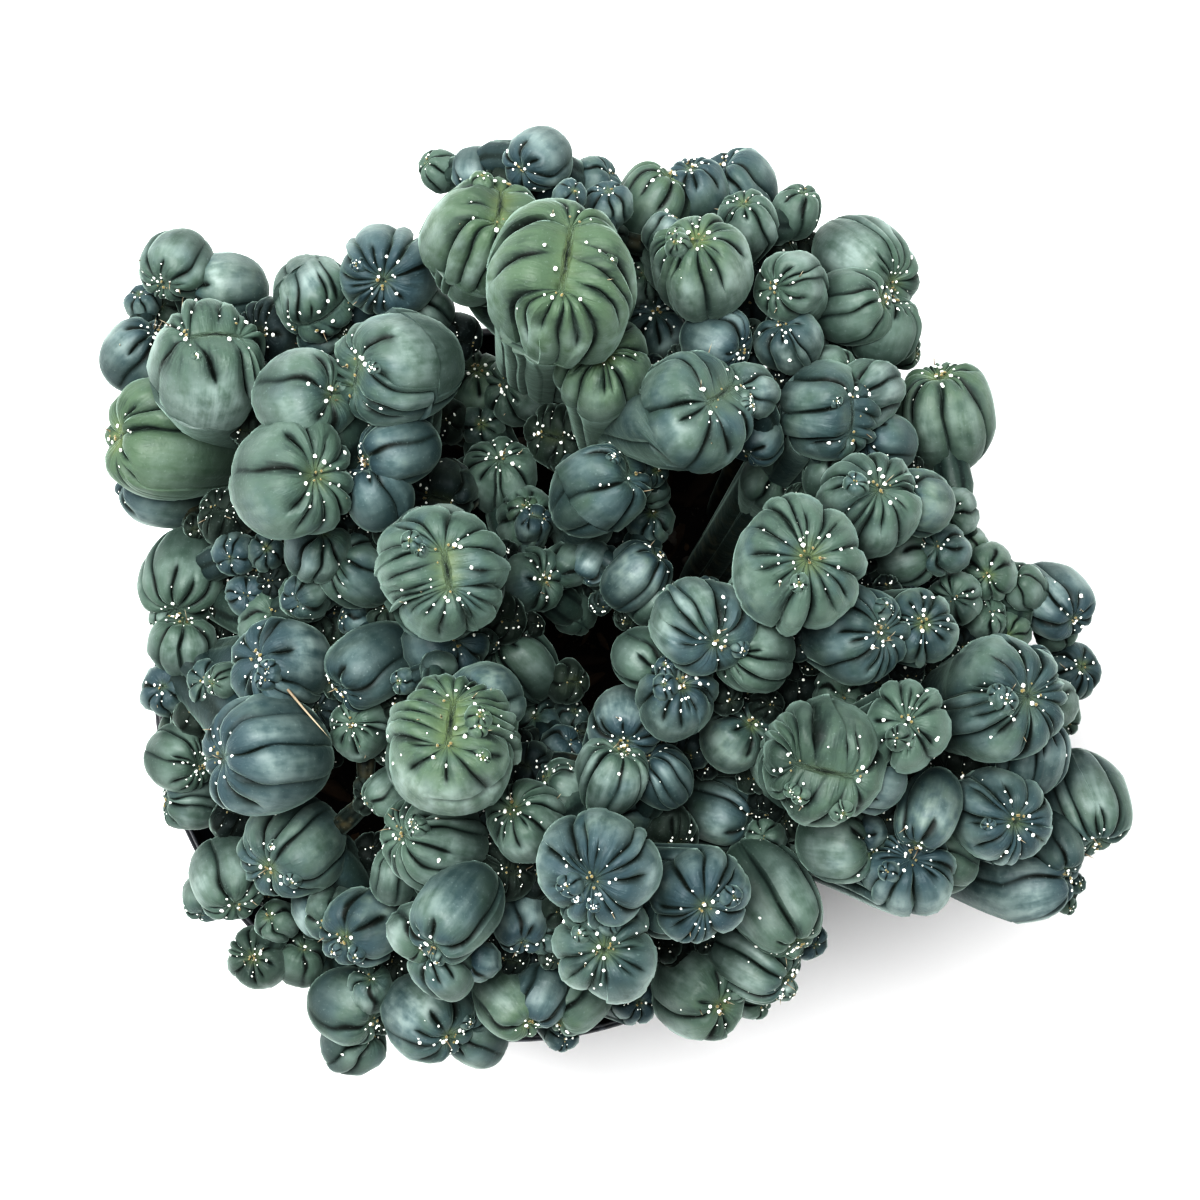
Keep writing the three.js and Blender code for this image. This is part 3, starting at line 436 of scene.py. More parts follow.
@dataclass
class Pose:
    """How a head lies: its middle, its three arms, and how far its crest line runs from the axis."""

    middle: Vector
    axis: Vector
    along: Vector
    side: Vector
    crest_half: float

    @classmethod
    def of(cls, head: Head) -> "Pose":
        """Pose a head as the plan shows it.

        Args:
            head: The head.

        Returns:
            Its pose.
        """
        middle = PLAN.point((head.x, head.y), head.rise)

        def look(place: Place) -> Vector:
            """Find the way the head looks where a plan place shows on it.

            Args:
                place: Across and down on the plan.

            Returns:
                The direction.
            """
            flat = (PLAN.point(place, head.rise) - middle)[:2] / (head.radius * head.stretch)
            length = float(np.hypot(*flat))
            flat = flat * (STEEPEST_LOOK / length) if length > STEEPEST_LOOK else flat
            return np.array([*flat, math.sqrt(1 - float(flat @ flat))])

        start, end = look(head.apex), look(head.crest or head.apex)
        axis = unit(start + end)
        half = math.acos(float(np.clip(start @ end, -1, 1))) / 2
        hint = end - start if half > 0.01 else np.array([1.0, 0.0, 0.0])
        along = unit(hint - axis * float(hint @ axis))
        return cls(middle, axis, along, np.cross(axis, along), half)

    @classmethod
    def facing(cls, middle: Vector, axis: Vector, hint: tuple[float, ...], crest_half: float) -> "Pose":
        """Pose a head along an axis, with its crest line square to a hint."""
        along = unit(np.cross(axis, hint))
        return cls(middle, axis, along, np.cross(axis, along), crest_half)

    def turned(self, turn: np.ndarray) -> "Pose":
        """Return the pose with its arms turned."""
        return Pose(self.middle, turn @ self.axis, turn @ self.along, turn @ self.side, self.crest_half)


class Kind(Enum):
    """What a head stands on."""

    TRUNK = "trunk"
    BRANCH = "branch"
    BUD = "bud"
    LOBE = "lobe"


@dataclass
class Growth:
    """A head where it stands and the limb that carries it, in millimetres and head radii."""

    head: Head
    pose: Pose
    number: int
    kind: Kind
    root: Vector
    root_radius: float
    room: float = 0.0
    shaded: float = 0.0
    tint: tuple[float, float] | None = None

    neck: float = 0.92
    overlap: float = 1.02
    knee: float = 1.1
    trunk_swell: float = 1.3
    sharpest_neck: float = 0.9
    sharpest_swoop: float = 0.7
    back_end: float = 0.97

    @property
    def back(self) -> tuple[float, float]:
        """How long a round back is, in head radii, and how blunt."""
        return {Kind.TRUNK: (1.4, 1.9), Kind.BRANCH: (1.12, 2.2)}.get(self.kind, (0.97, 2.4))

    @property
    def hue(self) -> tuple[float, float]:
        """How blue and how yellow the head is, from 0 to 1."""
        return self.tint or (noise(self.number, 11.3), 0.8 * noise(self.number, 13.9))

    @property
    def length(self) -> float:
        """How far the root is from the head's middle."""
        return float(np.linalg.norm(self.root - self.pose.middle))

    @property
    def bend(self) -> float:
        """How far the limb turns from the head's back towards its root."""
        return turning(-self.pose.axis, self.root - self.pose.middle)[1]

    @property
    def rounded(self) -> bool:
        """Whether the head's back is round, with the limb as a stalk of its own."""
        return self.kind is Kind.LOBE or self.bend > self.sharpest_swoop

    @property
    def bears(self) -> bool:
        """Whether other heads grow on the limb."""
        return self.kind in (Kind.TRUNK, Kind.BRANCH)

    def back_point(self, walk: np.ndarray) -> tuple[np.ndarray, np.ndarray]:
        """Follow a round back from the head's middle.

        Args:
            walk: Shares of the way.

        Returns:
            The points on its middle line, and its radius at each.
        """
        length, blunt = self.back
        points = self.pose.middle - walk[:, None] * self.pose.axis * length * self.head.radius
        return points, self.head.radius * np.sqrt(1 - (self.back_end * walk) ** blunt)

    def limb_point(self, walk: np.ndarray) -> tuple[np.ndarray, np.ndarray]:
        """Follow the limb from the head's middle down to its root.

        Args:
            walk: Shares of the way down.

        Returns:
            The points on the limb's middle line, and its radius at each.
        """
        back, way, radius = -self.pose.axis, self.root - self.pose.middle, self.head.radius
        part, _ = turning(back, way, min(1.0, self.sharpest_neck / max(self.bend, 0.01)))
        knee = self.pose.middle + part @ back * min(self.knee * radius, 0.5 * self.length)
        t = walk[:, None]
        points = (1 - t) ** 2 * self.pose.middle + 2 * t * (1 - t) * knee + t * t * self.root
        if self.kind is Kind.TRUNK:
            stops = (0, 0.2, 0.65, 0.97, 1)
            sizes = (self.overlap * radius, min(self.neck * radius, self.trunk_swell * self.room), self.room,
                     self.root_radius + 1, self.root_radius)
        else:
            stops, sizes = (0, 0.35, 1), (self.overlap * radius, self.neck * radius, self.root_radius)
        return points, np.interp(walk, stops, sizes)


@dataclass
class Clump:
    """The stems, each as the growths it is made of, sized as the solids are, in millimetres."""

    foot_radius: float = 7.0
    foot_show: float = 2.0
    foot_sink: float = 5.0
    trunk_size: float = 0.8
    lowest_fork: float = 16.0
    highest_fork: float = 0.9
    branch_root: float = 0.65
    bud_root: float = 0.8
    bud_sink: float = 0.6
    bud_reach: float = 1.5
    fused_reach: float = 0.86
    fused_bud: float = 0.7
    sharpest_bend: float = 1.5
    smallest_branch: float = 7.0

    def grow(self) -> list[list[Growth]]:
        """Grow every stem, then the small heads between, beside and on its heads.

        Returns:
            The growths of each stem.
        """
        clumps, number = [], 0
        for stem in STEMS:
            clumps.append(self.growths(stem, number))
            number += len(stem.heads)
        for brood in (Fillers(), SideHeads(), Nodules()):
            first = brood.number
            brood.grow(clumps)
            LOG.info("%s: %d", type(brood).__name__, brood.number - first)
        return clumps

    def room_round(self, foot: Place) -> float:
        """Return how thick a trunk may grow before it meets the next one."""
        others = [math.dist(foot, stem.foot) for stem in STEMS if stem.foot != foot]
        return max(self.foot_radius, min(others) / 2 + 1)

    def growths(self, stem: Stem, first_number: int) -> list[Growth]:
        """Stand each head of a stem on its limb.

        Args:
            stem: The stem.
            first_number: The running number of its first head.

        Returns:
            Its growths, the trunk first.
        """
        poses = [Pose.of(head) for head in stem.heads]
        base = np.array([*stem.foot, PLAN.soil_z + self.foot_show])
        room = min(self.trunk_size * stem.heads[0].radius, self.room_round(stem.foot))
        grown = []
        for i, (head, pose) in enumerate(zip(stem.heads, poses)):
            kind, root, size = self.footing(stem, poses, i, base)
            back, way = -pose.axis, root - pose.middle
            bend = turning(back, way)[1]
            if kind in (Kind.BRANCH, Kind.BUD) and bend > self.sharpest_bend:
                pose = pose.turned(turning(back, way, 1 - self.sharpest_bend / bend)[0])
            tints = [tint for place, tint in TINTS if math.dist(place, (head.x, head.y)) < TINT_REACH]
            grown.append(Growth(head, pose, first_number + i, kind, root, size, 0.0 if i else room,
                                tint=tints[-1] if tints else None))
        return grown

    def footing(self, stem: Stem, poses: list[Pose], i: int, base: Vector) -> tuple[Kind, Vector, float]:
        """Choose what a head stands on.

        Args:
            stem: Its stem.
            poses: The poses of the stem's heads.
            i: Which of them it is.
            base: Where the stem comes out of the soil.

        Returns:
            What it stands on, its root, and the limb's radius there.
        """
        if i == 0:
            return Kind.TRUNK, base - np.array([0, 0, self.foot_sink]), self.foot_radius
        head, pose, main, crown = stem.heads[i], poses[i], stem.heads[0], poses[0].middle
        bigger = [j for j, other in enumerate(stem.heads)
                  if j != i and (j == 0 or other.radius > head.radius)]
        apart = {j: float(np.linalg.norm(poses[j].middle - pose.middle)) for j in bigger}
        near = min(bigger, key=lambda j: apart[j] / (head.radius + stem.heads[j].radius))
        bearer, gap = stem.heads[near].radius, apart[near]
        inside = pose.middle + (poses[near].middle - pose.middle) * max(1 - self.bud_sink * bearer / gap, 0.5)
        if gap < self.fused_reach * bearer + self.fused_bud * head.radius:
            return Kind.LOBE, inside, self.bud_root * head.radius
        if head.radius < self.smallest_branch and gap < self.bud_reach * (head.radius + bearer):
            return Kind.BUD, inside, self.bud_root * head.radius
        out = math.dist(pose.middle[:2], stem.foot)
        highest = min(pose.middle[2] - head.radius, crown[2] - main.radius)
        fork = max(PLAN.rim_z + self.lowest_fork, min(highest, pose.middle[2] - out))
        share = min(self.highest_fork, (fork - base[2]) / (crown[2] - base[2]))
        return Kind.BRANCH, base + (crown - base) * share, self.branch_root * head.radius


@dataclass
class Brood:
    """One kind of small head that grows by rule: its next number, and how its draws are used."""

    number: int
    kind: Kind = Kind.BUD
    least_ribs: int = 5
    more_ribs: float = 1.9
    crest: float = 0.0
    hint: tuple[float, float, float] = (0.2, 1.0, 0.1)
    root_size: float = 1.0

    def bud(self, middle: Vector, axis: Vector, radius: float, ribs: float, crest: float, root: Vector,
            **light: Any) -> Growth:
        """Make the next small head.

        Args:
            middle: Its middle.
            axis: The way it looks.
            radius: Its radius, in millimetres.
            ribs: From 0 to 1, how many ribs it has.
            crest: From 0 to 1, how long its crest line is.
            root: Where its limb starts.
            **light: How shaded it is, and its tint.

        Returns:
            The growth.
        """
        count = self.least_ribs + int(self.more_ribs * ribs)
        head = Head(0, 0, middle[2] - PLAN.rim_z, radius, count, (0, 0))
        pose = Pose.facing(middle, axis, self.hint, self.crest * crest)
        self.number += 1
        return Growth(head, pose, self.number - 1, self.kind, root, self.root_size * radius, **light)


@dataclass
class Fillers(Brood):
    """Small side heads in the gaps that show between the heads from above, in millimetres."""

    number: int = 300
    more_ribs: float = 3.9
    crest: float = 0.35
    root_size: float = 0.6
    grid: float = 1.5
    reach: float = 17.0
    shadow: float = 1.12
    looks: int = 16
    most_heads: int = 170
    least_room: float = 0.6
    fullness: float = 1.3
    over_room: float = 1.8
    least: float = 3.4
    most: float = 9.0
    drop: float = 6.0
    more_drop: float = 16.0
    over_soil: float = 16.0
    tilt: float = 0.3
    lean: float = 0.55
    gloom: float = 0.62
    more_gloom: float = 0.33
    openings: tuple[tuple[Place, float], ...] = (
        ((590, 645), 12.0), ((470, 312), 8.0), ((488, 340), 9.0), ((350, 775), 5.0), ((820, 880), 7.0))

    def grow(self, clumps: list[list[Growth]]) -> None:
        """Fill the gaps from the widest down.

        Args:
            clumps: The growths of each stem, which the new heads join.
        """
        grown = [growth for clump in clumps for growth in clump]
        places = np.array([PLAN.flat(growth.pose.middle) for growth in grown])
        sizes = np.array([growth.head.radius * self.shadow for growth in grown])
        rises = np.array([growth.pose.middle[2] for growth in grown])
        walks = np.linspace(0.2, 0.9, 12)
        limbs = [np.concatenate([growth.limb_point(walks)[0] for growth in clump if growth.bears])
                 for clump in clumps]
        spots, near = self.sheltered(places, sizes)
        room = (np.linalg.norm(places[None] - spots[:, None], axis=2) - sizes).min(1)
        for _ in range(self.most_heads):
            best = int(room.argmax())
            if room[best] < self.least_room:
                break
            drop, aside, ahead, ribs, crest, gloom = draws(self.number, 1, 2, 3, 5, 6, 7)
            radius = float(np.clip(room[best] * self.fullness + self.over_room, self.least, self.most))
            rise = float(rises[near[best]].mean()) - self.drop - self.more_drop * drop
            rise = max(rise, PLAN.soil_z + self.over_soil)
            shown = (spots[best] - PLAN.middle) * PLAN.shrink(rise - PLAN.rim_z) + PLAN.middle
            middle = np.array([*shown, rise])
            ways = [np.linalg.norm(limb - middle, axis=1) + 2 * np.maximum(limb[:, 2] - rise, 0)
                    for limb in limbs]
            own = int(np.argmin([way.min() for way in ways]))
            root = limbs[own][int(ways[own].argmin())]
            upright = np.array([self.tilt * (aside - 0.5), self.tilt * (ahead - 0.5), 1.0])
            axis = unit(upright + self.lean * unit(middle - root))
            clumps[own].append(self.bud(middle, axis, radius, ribs, crest, root,
                                        shaded=self.gloom + self.more_gloom * gloom))
            room = np.minimum(room, np.linalg.norm(spots - spots[best], axis=1) - radius)

    def sheltered(self, places: np.ndarray, sizes: np.ndarray) -> tuple[np.ndarray, np.ndarray]:
        """Find the spots of the plan that heads close in from nearly every side.

        Args:
            places: Where the heads show on the plan.
            sizes: Their radii on it.

        Returns:
            The spots, and for each which heads lie near it.
        """
        low, high = places.min(0), places.max(0)
        x, y = np.meshgrid(np.arange(low[0], high[0], self.grid), np.arange(low[1], high[1], self.grid))
        spots = np.stack([x.ravel(), y.ravel()], -1)
        for place, radius in self.openings:
            spots = spots[np.linalg.norm(spots - PLAN.flat(PLAN.point(place, 0)), axis=1) > radius]
        way = places[None] - spots[:, None]
        apart = np.linalg.norm(way, axis=2)
        hits = np.zeros(len(spots))
        for i in range(self.looks):
            angle = TURN * i / self.looks
            ahead = way @ np.array([math.cos(angle), math.sin(angle)])
            aside = sizes ** 2 - (apart ** 2 - ahead ** 2)
            gap = ahead - np.sqrt(np.maximum(aside, 0))
            hits += ((aside > 0) & (ahead > 0) & (gap < self.reach)).any(1)
        inside = hits >= self.looks - 1
        return spots[inside], (apart[inside] - sizes) < self.reach


@dataclass
class SideHeads(Brood):
    """Small heads low on the outer limbs, where the heads above hide them from the eye, in millimetres."""

    number: int = 500
    more_ribs: float = 2.9
    crest: float = 0.3
    hint: tuple[float, float, float] = (0.2, 0.1, 1.0)
    root_size: float = 0.75
    step: float = 15.5
    start: float = 0.28
    span: float = 0.5
    shift: float = 0.8
    swing: float = 2.4
    least: float = 4.2
    more: float = 4.2
    sink: float = 0.4
    lift: float = 0.3
    more_lift: float = 0.6
    most_seen: float = 1.5
    gloom: float = 0.15
    under_rim: float = 6.0
    over_soil: float = 12.0
    inside_rim: float = 92.0

    def clear(self, middle: Vector) -> bool:
        """Return whether a head stays clear of the rim and the soil."""
        over_rim = middle[2] < PLAN.rim_z - self.under_rim and np.hypot(*middle[:2]) > self.inside_rim
        return not over_rim and middle[2] >= PLAN.soil_z + self.over_soil

    def grow(self, clumps: list[list[Growth]]) -> None:
        """Set heads down each limb that bears any.

        Args:
            clumps: The growths of each stem, which the new heads join.
        """
        grown = [growth for clump in clumps for growth in clump]
        places = np.array([PLAN.flat(growth.pose.middle) for growth in grown])
        sizes = np.array([growth.head.radius for growth in grown])
        for clump in clumps:
            for parent in [growth for growth in clump if growth.bears]:
                for k in range(int(parent.length / self.step)):
                    shift, swing, size, lift, ribs, crest = draws(parent.number * 7.7 + k, 1, 2, 3, 4, 5, 6)
                    walk = self.start + self.span * (k + self.shift * shift) * self.step / parent.length
                    points, thick = parent.limb_point(np.array([walk, walk + 0.02]))
                    down, away = unit(points[1] - points[0]), np.array([*points[0][:2], 0.0])
                    outer = unit(np.cross(down, unit(np.cross(away, down))))
                    outer = outer if float(outer @ away) > 0 else -outer
                    angle = self.swing * (swing - 0.5)
                    out = outer * math.cos(angle) + np.cross(down, outer) * math.sin(angle)
                    radius = self.least + self.more * size
                    middle = points[0] + out * (thick[0] + self.sink * radius)
                    seen = (np.linalg.norm(places - PLAN.flat(middle), axis=1) + radius - sizes).min()
                    if self.clear(middle) and seen <= self.most_seen:
                        axis = unit(out + np.array([0, 0, self.lift + self.more_lift * lift]))
                        clump.append(self.bud(middle, axis, radius, ribs, crest, points[0],
                                              shaded=self.gloom))


@dataclass
class Nodules(Brood):
    """Tiny nodules out of the creases near the apex of the larger heads, in millimetres."""

    number: int = 800
    kind: Kind = Kind.LOBE
    least_bearer: float = 10.5
    apart: float = 5.0
    next_crease: float = 1.4
    tilt: float = 0.3
    more_tilt: float = 0.3
    sink: float = 0.12
    least: float = 1.8
    more: float = 1.8

    def grow(self, clumps: list[list[Growth]]) -> None:
        """Set nodules on each head that bears any.

        Args:
            clumps: The growths of each stem, which the nodules join.
        """
        for clump in clumps:
            for parent in [growth for growth in clump if growth.head.radius > self.least_bearer]:
                skin, seed = HeadSkin(parent), parent.number * 3.1
                count, first = draws(seed, 31, 32)
                for k in range(int(parent.head.radius / self.apart * count + 0.5)):
                    tilt, size, ribs = draws(seed, 42 + k, 52 + k, 62 + k)
                    share = skin.edges[int(first * skin.ribs + self.next_crease * k) % skin.ribs]
                    point = skin.spot(share, self.tilt + self.more_tilt * tilt, skin.puff - self.sink)
                    out = unit(point - parent.pose.middle)
                    axis = unit(out + 0.5 * parent.pose.axis + np.array([0, 0, 0.2]))
                    clump.append(self.bud(point, axis, self.least + self.more * size, ribs, 0.0,
                                          parent.pose.middle, shaded=parent.shaded, tint=parent.hue))


LAYERS = ("marks", "tones", "turns")


@dataclass
class Mesh:
    """Points and faces gathered for one piece, with three layers of shades on each point."""

    points: list[np.ndarray] = field(default_factory=list)
    faces: list[np.ndarray] = field(default_factory=list)
    layers: dict[str, list[np.ndarray]] = field(default_factory=lambda: {label: [] for label in LAYERS})
    count: int = 0

    def add(self, points: np.ndarray, faces: np.ndarray, **shades: Any) -> None:
        """Add a closed skin.

        Args:
            points: Its points, in millimetres.
            faces: Its triangles, as rows of three point numbers.
            **shades: Four shades of each point, or one row for all, by layer. On the skin, marks are
            crease depth for painted crease shade, youth, the lobe crown for pale wax and a painted
            highlight, and older skin with painted underside shade, tones are blue, light, yellow and
            wear, and turns are the place round and down the head, for wrinkles, and gloom, a painted
            shade low in the clump and in its gaps.
        """
        self.points.append(points)
        self.faces.append(faces + self.count)
        for label, parts in self.layers.items():
            parts.append(np.broadcast_to(shades.get(label, np.zeros(4)), (len(points), 4)))
        self.count += len(points)

    def build(self, name: str, material: bpy.types.Material, sharp: float = 180.0) -> bpy.types.Object:
        """Make the piece.

        Args:
            name: The piece's name.
            material: Its finish.
            sharp: The angle in degrees past which an edge stays sharp.

        Returns:
            The object, in metres.
        """
        points, faces = np.concatenate(self.points) * MM, np.concatenate(self.faces)
        mesh = bpy.data.meshes.new(name)
        mesh.vertices.add(len(points))
        mesh.vertices.foreach_set("co", points.astype(np.float32).ravel())
        mesh.loops.add(faces.size)
        mesh.loops.foreach_set("vertex_index", faces.astype(np.int32).ravel())
        mesh.polygons.add(len(faces))
        mesh.polygons.foreach_set("loop_start", np.arange(0, faces.size, 3, dtype=np.int32))
        mesh.update(calc_edges=True)
        mesh.validate()
        for label, parts in self.layers.items():
            layer = mesh.color_attributes.new(label, "FLOAT_COLOR", "POINT")
            layer.data.foreach_set("color", np.concatenate(parts).astype(np.float32).ravel())
        mesh.polygons.foreach_set("use_smooth", np.ones(len(mesh.polygons), dtype=bool))
        if sharp < 180:
            mesh.set_sharp_from_angle(angle=math.radians(sharp))
        mesh.materials.append(material)
        piece = bpy.data.objects.new(name, mesh)
        bpy.context.scene.collection.objects.link(piece)
        return piece


def grid_faces(rows: int, columns: int) -> np.ndarray:
    """List the triangles of a closed skin of rings, with a tip at each end.

    Args:
        rows: How many rings.
        columns: How many points in a ring.

    Returns:
        The triangles. The two tips follow the rings in the point list.
    """
    ring = np.arange(columns)
    following = (ring + 1) % columns
    upper = (np.arange(rows - 1) * columns)[:, None]
    a, b = upper + ring, upper + following
    c, d = a + columns, b + columns
    tip, last = rows * columns, (rows - 1) * columns
    return np.concatenate([
        np.stack([a, c, b], -1).reshape(-1, 3), np.stack([b, c, d], -1).reshape(-1, 3),
        np.stack([np.full(columns, tip), ring, following], -1),
        np.stack([np.full(columns, tip + 1), last + following, last + ring], -1)])


@dataclass(frozen=True)
class Fineness:
    """How fine the grid of a head's skin is, for heads under a radius in millimetres."""

    radius: float
    top_rows: int
    side_rows: int
    back_rows: int
    limb_step: float
    spread: tuple[float, ...]


FEW = (0, 0.11, 0.35, 0.65, 0.89)
MANY = (0, 0.065, 0.23, 0.5, 0.77, 0.935)
FINENESS = (Fineness(6.3, 3, 5, 4, 8, FEW), Fineness(7.6, 4, 6, 5, 8, FEW),
            Fineness(12.6, 9, 11, 7, 7, FEW), Fineness(math.inf, 9, 11, 7, 7, MANY))


@dataclass
class Grid:
    """The rows and columns of a head's skin: the tilt of each row, and each point's share of a turn."""

    tilts: np.ndarray
    walks: np.ndarray
    depth: np.ndarray
    edges: np.ndarray
    widths: np.ndarray
    shares: np.ndarray

    @property
    def down(self) -> np.ndarray:
        """The tilt of each row, as a column."""
        return self.depth[:, None]


@dataclass
class HeadSkin:
    """The fine skin of one growth: creases of many lengths round an apex, puffed lobes and a ribbed limb."""

    growth: Growth
    crest_end: float = 0.5
    puff: float = 1.09
    lobe_depth: float = 0.18
    crease_depth: float = 0.15
    limb_depth: float = 0.10
    dimple: float = 0.2
    shoulder: float = 0.03
    plump: float = 0.8
    lobe_round: float = 0.42
    crease_round: float = 0.5
    uneven: float = 0.05
    waves: tuple[float, float, float] = (0.042, 0.028, 0.014)
    top_tilts: tuple[float, float] = (0.05, 0.6)
    side_tilts: tuple[float, float] = (0.72, 1.62)
    dome_end: float = 1.7
    limb_row: float = 0.12
    back_start: float = 0.14
    limb_start: float = 0.42
    wobble: float = 0.13
    slant: float = 0.16
    most_slant: float = 0.075
    stalk_ribs: int = 5
    wool_rows: tuple[tuple[float, float, float], ...] = ((0.72, 0.2, 0.3), (0.5, 0.45, 0.4), (0.26, 0.8, 0.6))
    wool_sink: float = 0.45
    small_head: float = 7.6
    deep_z: float = 168.0
    lit_z: float = 252.0

    def __post_init__(self) -> None:
        """Place the creases and choose how far each runs."""
        head = self.growth.head
        extra = 0.4 if self.growth.pose.crest_half < 0.4 else 0.15
        more = 0 if head.radius < self.small_head else max(2, round(extra * head.ribs))
        ribs = self.ribs = head.ribs + more
        self.fine = next(fine for fine in FINENESS if head.radius < fine.radius)
        widths = 0.4 + 1.5 * self.each(0) ** 1.5
        shift = 0.3 * noise(ribs, self.growth.number) / ribs
        self.edges = (np.cumsum(widths) - widths[0]) / widths.sum() + shift
        wanted = ribs if ribs <= 5 else max(4, round(0.42 * ribs) + 1)
        self.long = np.zeros(ribs, dtype=bool)
        self.long[np.argsort(-self.each(2.3))[:wanted]] = True
        self.reach = np.where(self.long, math.inf, 0.75 + 0.8 * self.each(4.1))
        self.wander = self.each(5.9) - 0.5

    def each(self, throw: float) -> np.ndarray:
        """Return a repeatable number from 0 to 1 for each crease."""
        return np.array([noise(k, self.growth.number + throw) for k in range(self.ribs)])

    def columns(self, values: np.ndarray) -> np.ndarray:
        """Repeat a value of each crease over the columns beside it."""
        return np.repeat(values, len(self.fine.spread))

    def crest(self, shares: np.ndarray) -> tuple[np.ndarray, np.ndarray]:
        """Find where on the crest line each share of a turn starts.

        Args:
            shares: Shares of a turn round the crest line.

        Returns:
            The places along the crest line from its middle, and the headings away from it.
        """
        half = self.growth.pose.crest_half
        turn_end, straight = math.pi * self.crest_end, 2 * half
        walk = (shares % 1.0) * 2 * (turn_end + straight)
        second, third, fourth = walk - turn_end, walk - turn_end - straight, walk - 2 * turn_end - straight
        quarter = math.pi / 2
        base = np.where(third < turn_end, -half, fourth - half)
        base = np.where(second < 0, half, np.where(third < 0, half - second, base))
        heading = np.where(third < turn_end, third / self.crest_end + quarter, -quarter)
        heading = np.where(second < 0, walk / self.crest_end - quarter, np.where(third < 0, quarter, heading))
        return base, heading

    def dome(self, shares: np.ndarray, tilts: np.ndarray, swell: np.ndarray) -> np.ndarray:
        """Find points of the dome.

        Args:
            shares: Their shares of a turn.
            tilts: Their tilts away from the crest line.
            swell: How far they stand from the middle, in head radii.

        Returns:
            The points.
        """
        pose, head = self.growth.pose, self.growth.head
        base, heading = self.crest(shares)
        across = base + tilts * np.cos(heading) * (1 - pose.crest_half / 1.7)
        over = tilts * np.sin(heading)
        lean = np.maximum(np.hypot(across, over), 1e-4)
        flat = head.radius * swell * np.abs(np.sin(lean)) ** self.plump / lean
        height = np.cos(lean)
        rise = head.radius * head.stretch * swell * np.sign(height) * np.abs(height) ** self.plump
        return (pose.middle + (across * flat)[..., None] * pose.along + (over * flat)[..., None] * pose.side
                + rise[..., None] * pose.axis)

    def spot(self, share: float, tilt: float, swell: float) -> Vector:
        """Find one point of the dome."""
        return self.dome(np.array([share]), np.array([tilt]), np.array([swell]))[0]

    def grid(self) -> Grid:
        """Lay the rows from the apex down to the root, and the columns from crease to crease.

        Returns:
            The grid.
        """
        growth, fine, half = self.growth, self.fine, self.growth.pose.crest_half
        tilts = np.concatenate([np.linspace(*self.top_tilts, fine.top_rows),
                                np.linspace(*self.side_tilts, fine.side_rows)])
        if growth.rounded:
            walks = np.linspace(self.back_start, 1, fine.back_rows)
        else:
            start = min(self.limb_start * growth.head.radius / max(growth.length, 1), 0.5)
            walks = np.linspace(start, 1, max(4, round(growth.length / fine.limb_step)))
        depth = np.concatenate([tilts, self.dome_end + self.limb_row * np.arange(len(walks))])
        down, wander = depth[:, None], self.wander
        quarter = math.pi * self.crest_end / 2 / (2 * (math.pi * self.crest_end + 2 * half))
        slant = -min(self.slant * half, self.most_slant) * np.sin(TURN * (self.edges - quarter))
        sway = np.sin(2.3 * down + 9 * wander) * 0.6 + np.sin(5.3 * down + 17 * wander) * 0.4
        edges = (self.edges + self.wobble / self.ribs * sway * smooth(0.1, 0.5, down)
                 + slant * np.minimum(down, self.dome_end))
        widths = np.concatenate([edges[:, 1:], edges[:, :1] + 1], axis=1) - edges
        shares = np.concatenate([edges[:, k:k + 1] + np.array(fine.spread) * widths[:, k:k + 1]
                                 for k in range(self.ribs)], axis=1)
        return Grid(tilts, walks, depth, edges, widths, shares)

    def lobes(self, grid: Grid) -> np.ndarray:
        """Find how far each point stands up a lobe between long creases.

        Args:
            grid: The head's grid.

        Returns:
            Shares from 0 in the crease to 1.
        """
        result = np.ones_like(grid.shares)
        for row, shares in enumerate(grid.shares):
            marks = np.sort(grid.edges[row][self.long] % 1.0)
            after = np.searchsorted(marks, shares % 1.0, side="right") % len(marks)
            start, end = marks[after - 1], marks[after]
            width = (end - start) % 1.0
            share = ((shares - start) % 1.0) / np.where(width == 0, 1.0, width)
            result[row] = np.maximum(np.sin(np.pi * np.clip(share, 0, 1)), 0) ** self.lobe_round
        return result

    def relief(self, grid: Grid, lobe: np.ndarray) -> tuple[np.ndarray, np.ndarray]:
        """Swell the lobes and sink the creases.

        Args:
            grid: The head's grid.
            lobe: How far each point stands up its lobe.

        Returns:
            How far each point stands from the middle, in head radii, and how deep in a crease it lies.
        """
        down, shares = grid.down, grid.shares
        narrow = np.sin(np.minimum(down, math.pi / 2)) * math.pi
        on_limb = smooth(1.6, 2.4, down)
        deep = np.minimum(self.lobe_depth, 0.62 * narrow / self.long.sum()) * (1 - on_limb) \
            + self.limb_depth * on_limb
        dent = deep * (1 - lobe) * self.columns(0.55 + 0.8 * self.each(7.7))
        crease = (1 - lobe) * (1 - 0.3 * smooth(0.7, 1.4, down))
        minor = np.minimum(self.crease_depth, 0.95 * narrow / self.ribs)
        for k in np.flatnonzero(~self.long):
            offset = (shares - grid.edges[:, k:k + 1] + 0.5) % 1.0 - 0.5
            beside = np.where(offset < 0, grid.widths[:, k - 1:k] if k else grid.widths[:, -1:],
                              grid.widths[:, k:k + 1]) / 2
            hollow = 1 - np.clip(np.abs(offset) / beside, 0, 1) ** self.crease_round
            hollow = hollow * (1 - smooth(self.reach[k] - 0.4, self.reach[k], down))
            dent = dent + minor * hollow
            crease = np.maximum(crease, 0.95 * hollow)
        plain = self.puff + self.shoulder * np.sin(2 * np.minimum(down, math.pi / 2)) ** 2 \
            - self.dimple * np.exp(-(down / 0.28) ** 2)
        plain = np.where(down > 1.65, 1 + (self.puff - 1) * np.exp(-(down - self.dome_end) / 0.6), plain)
        phase, turn = TURN * noise(self.growth.number, 9.1), TURN * shares
        large, middling, little = self.waves
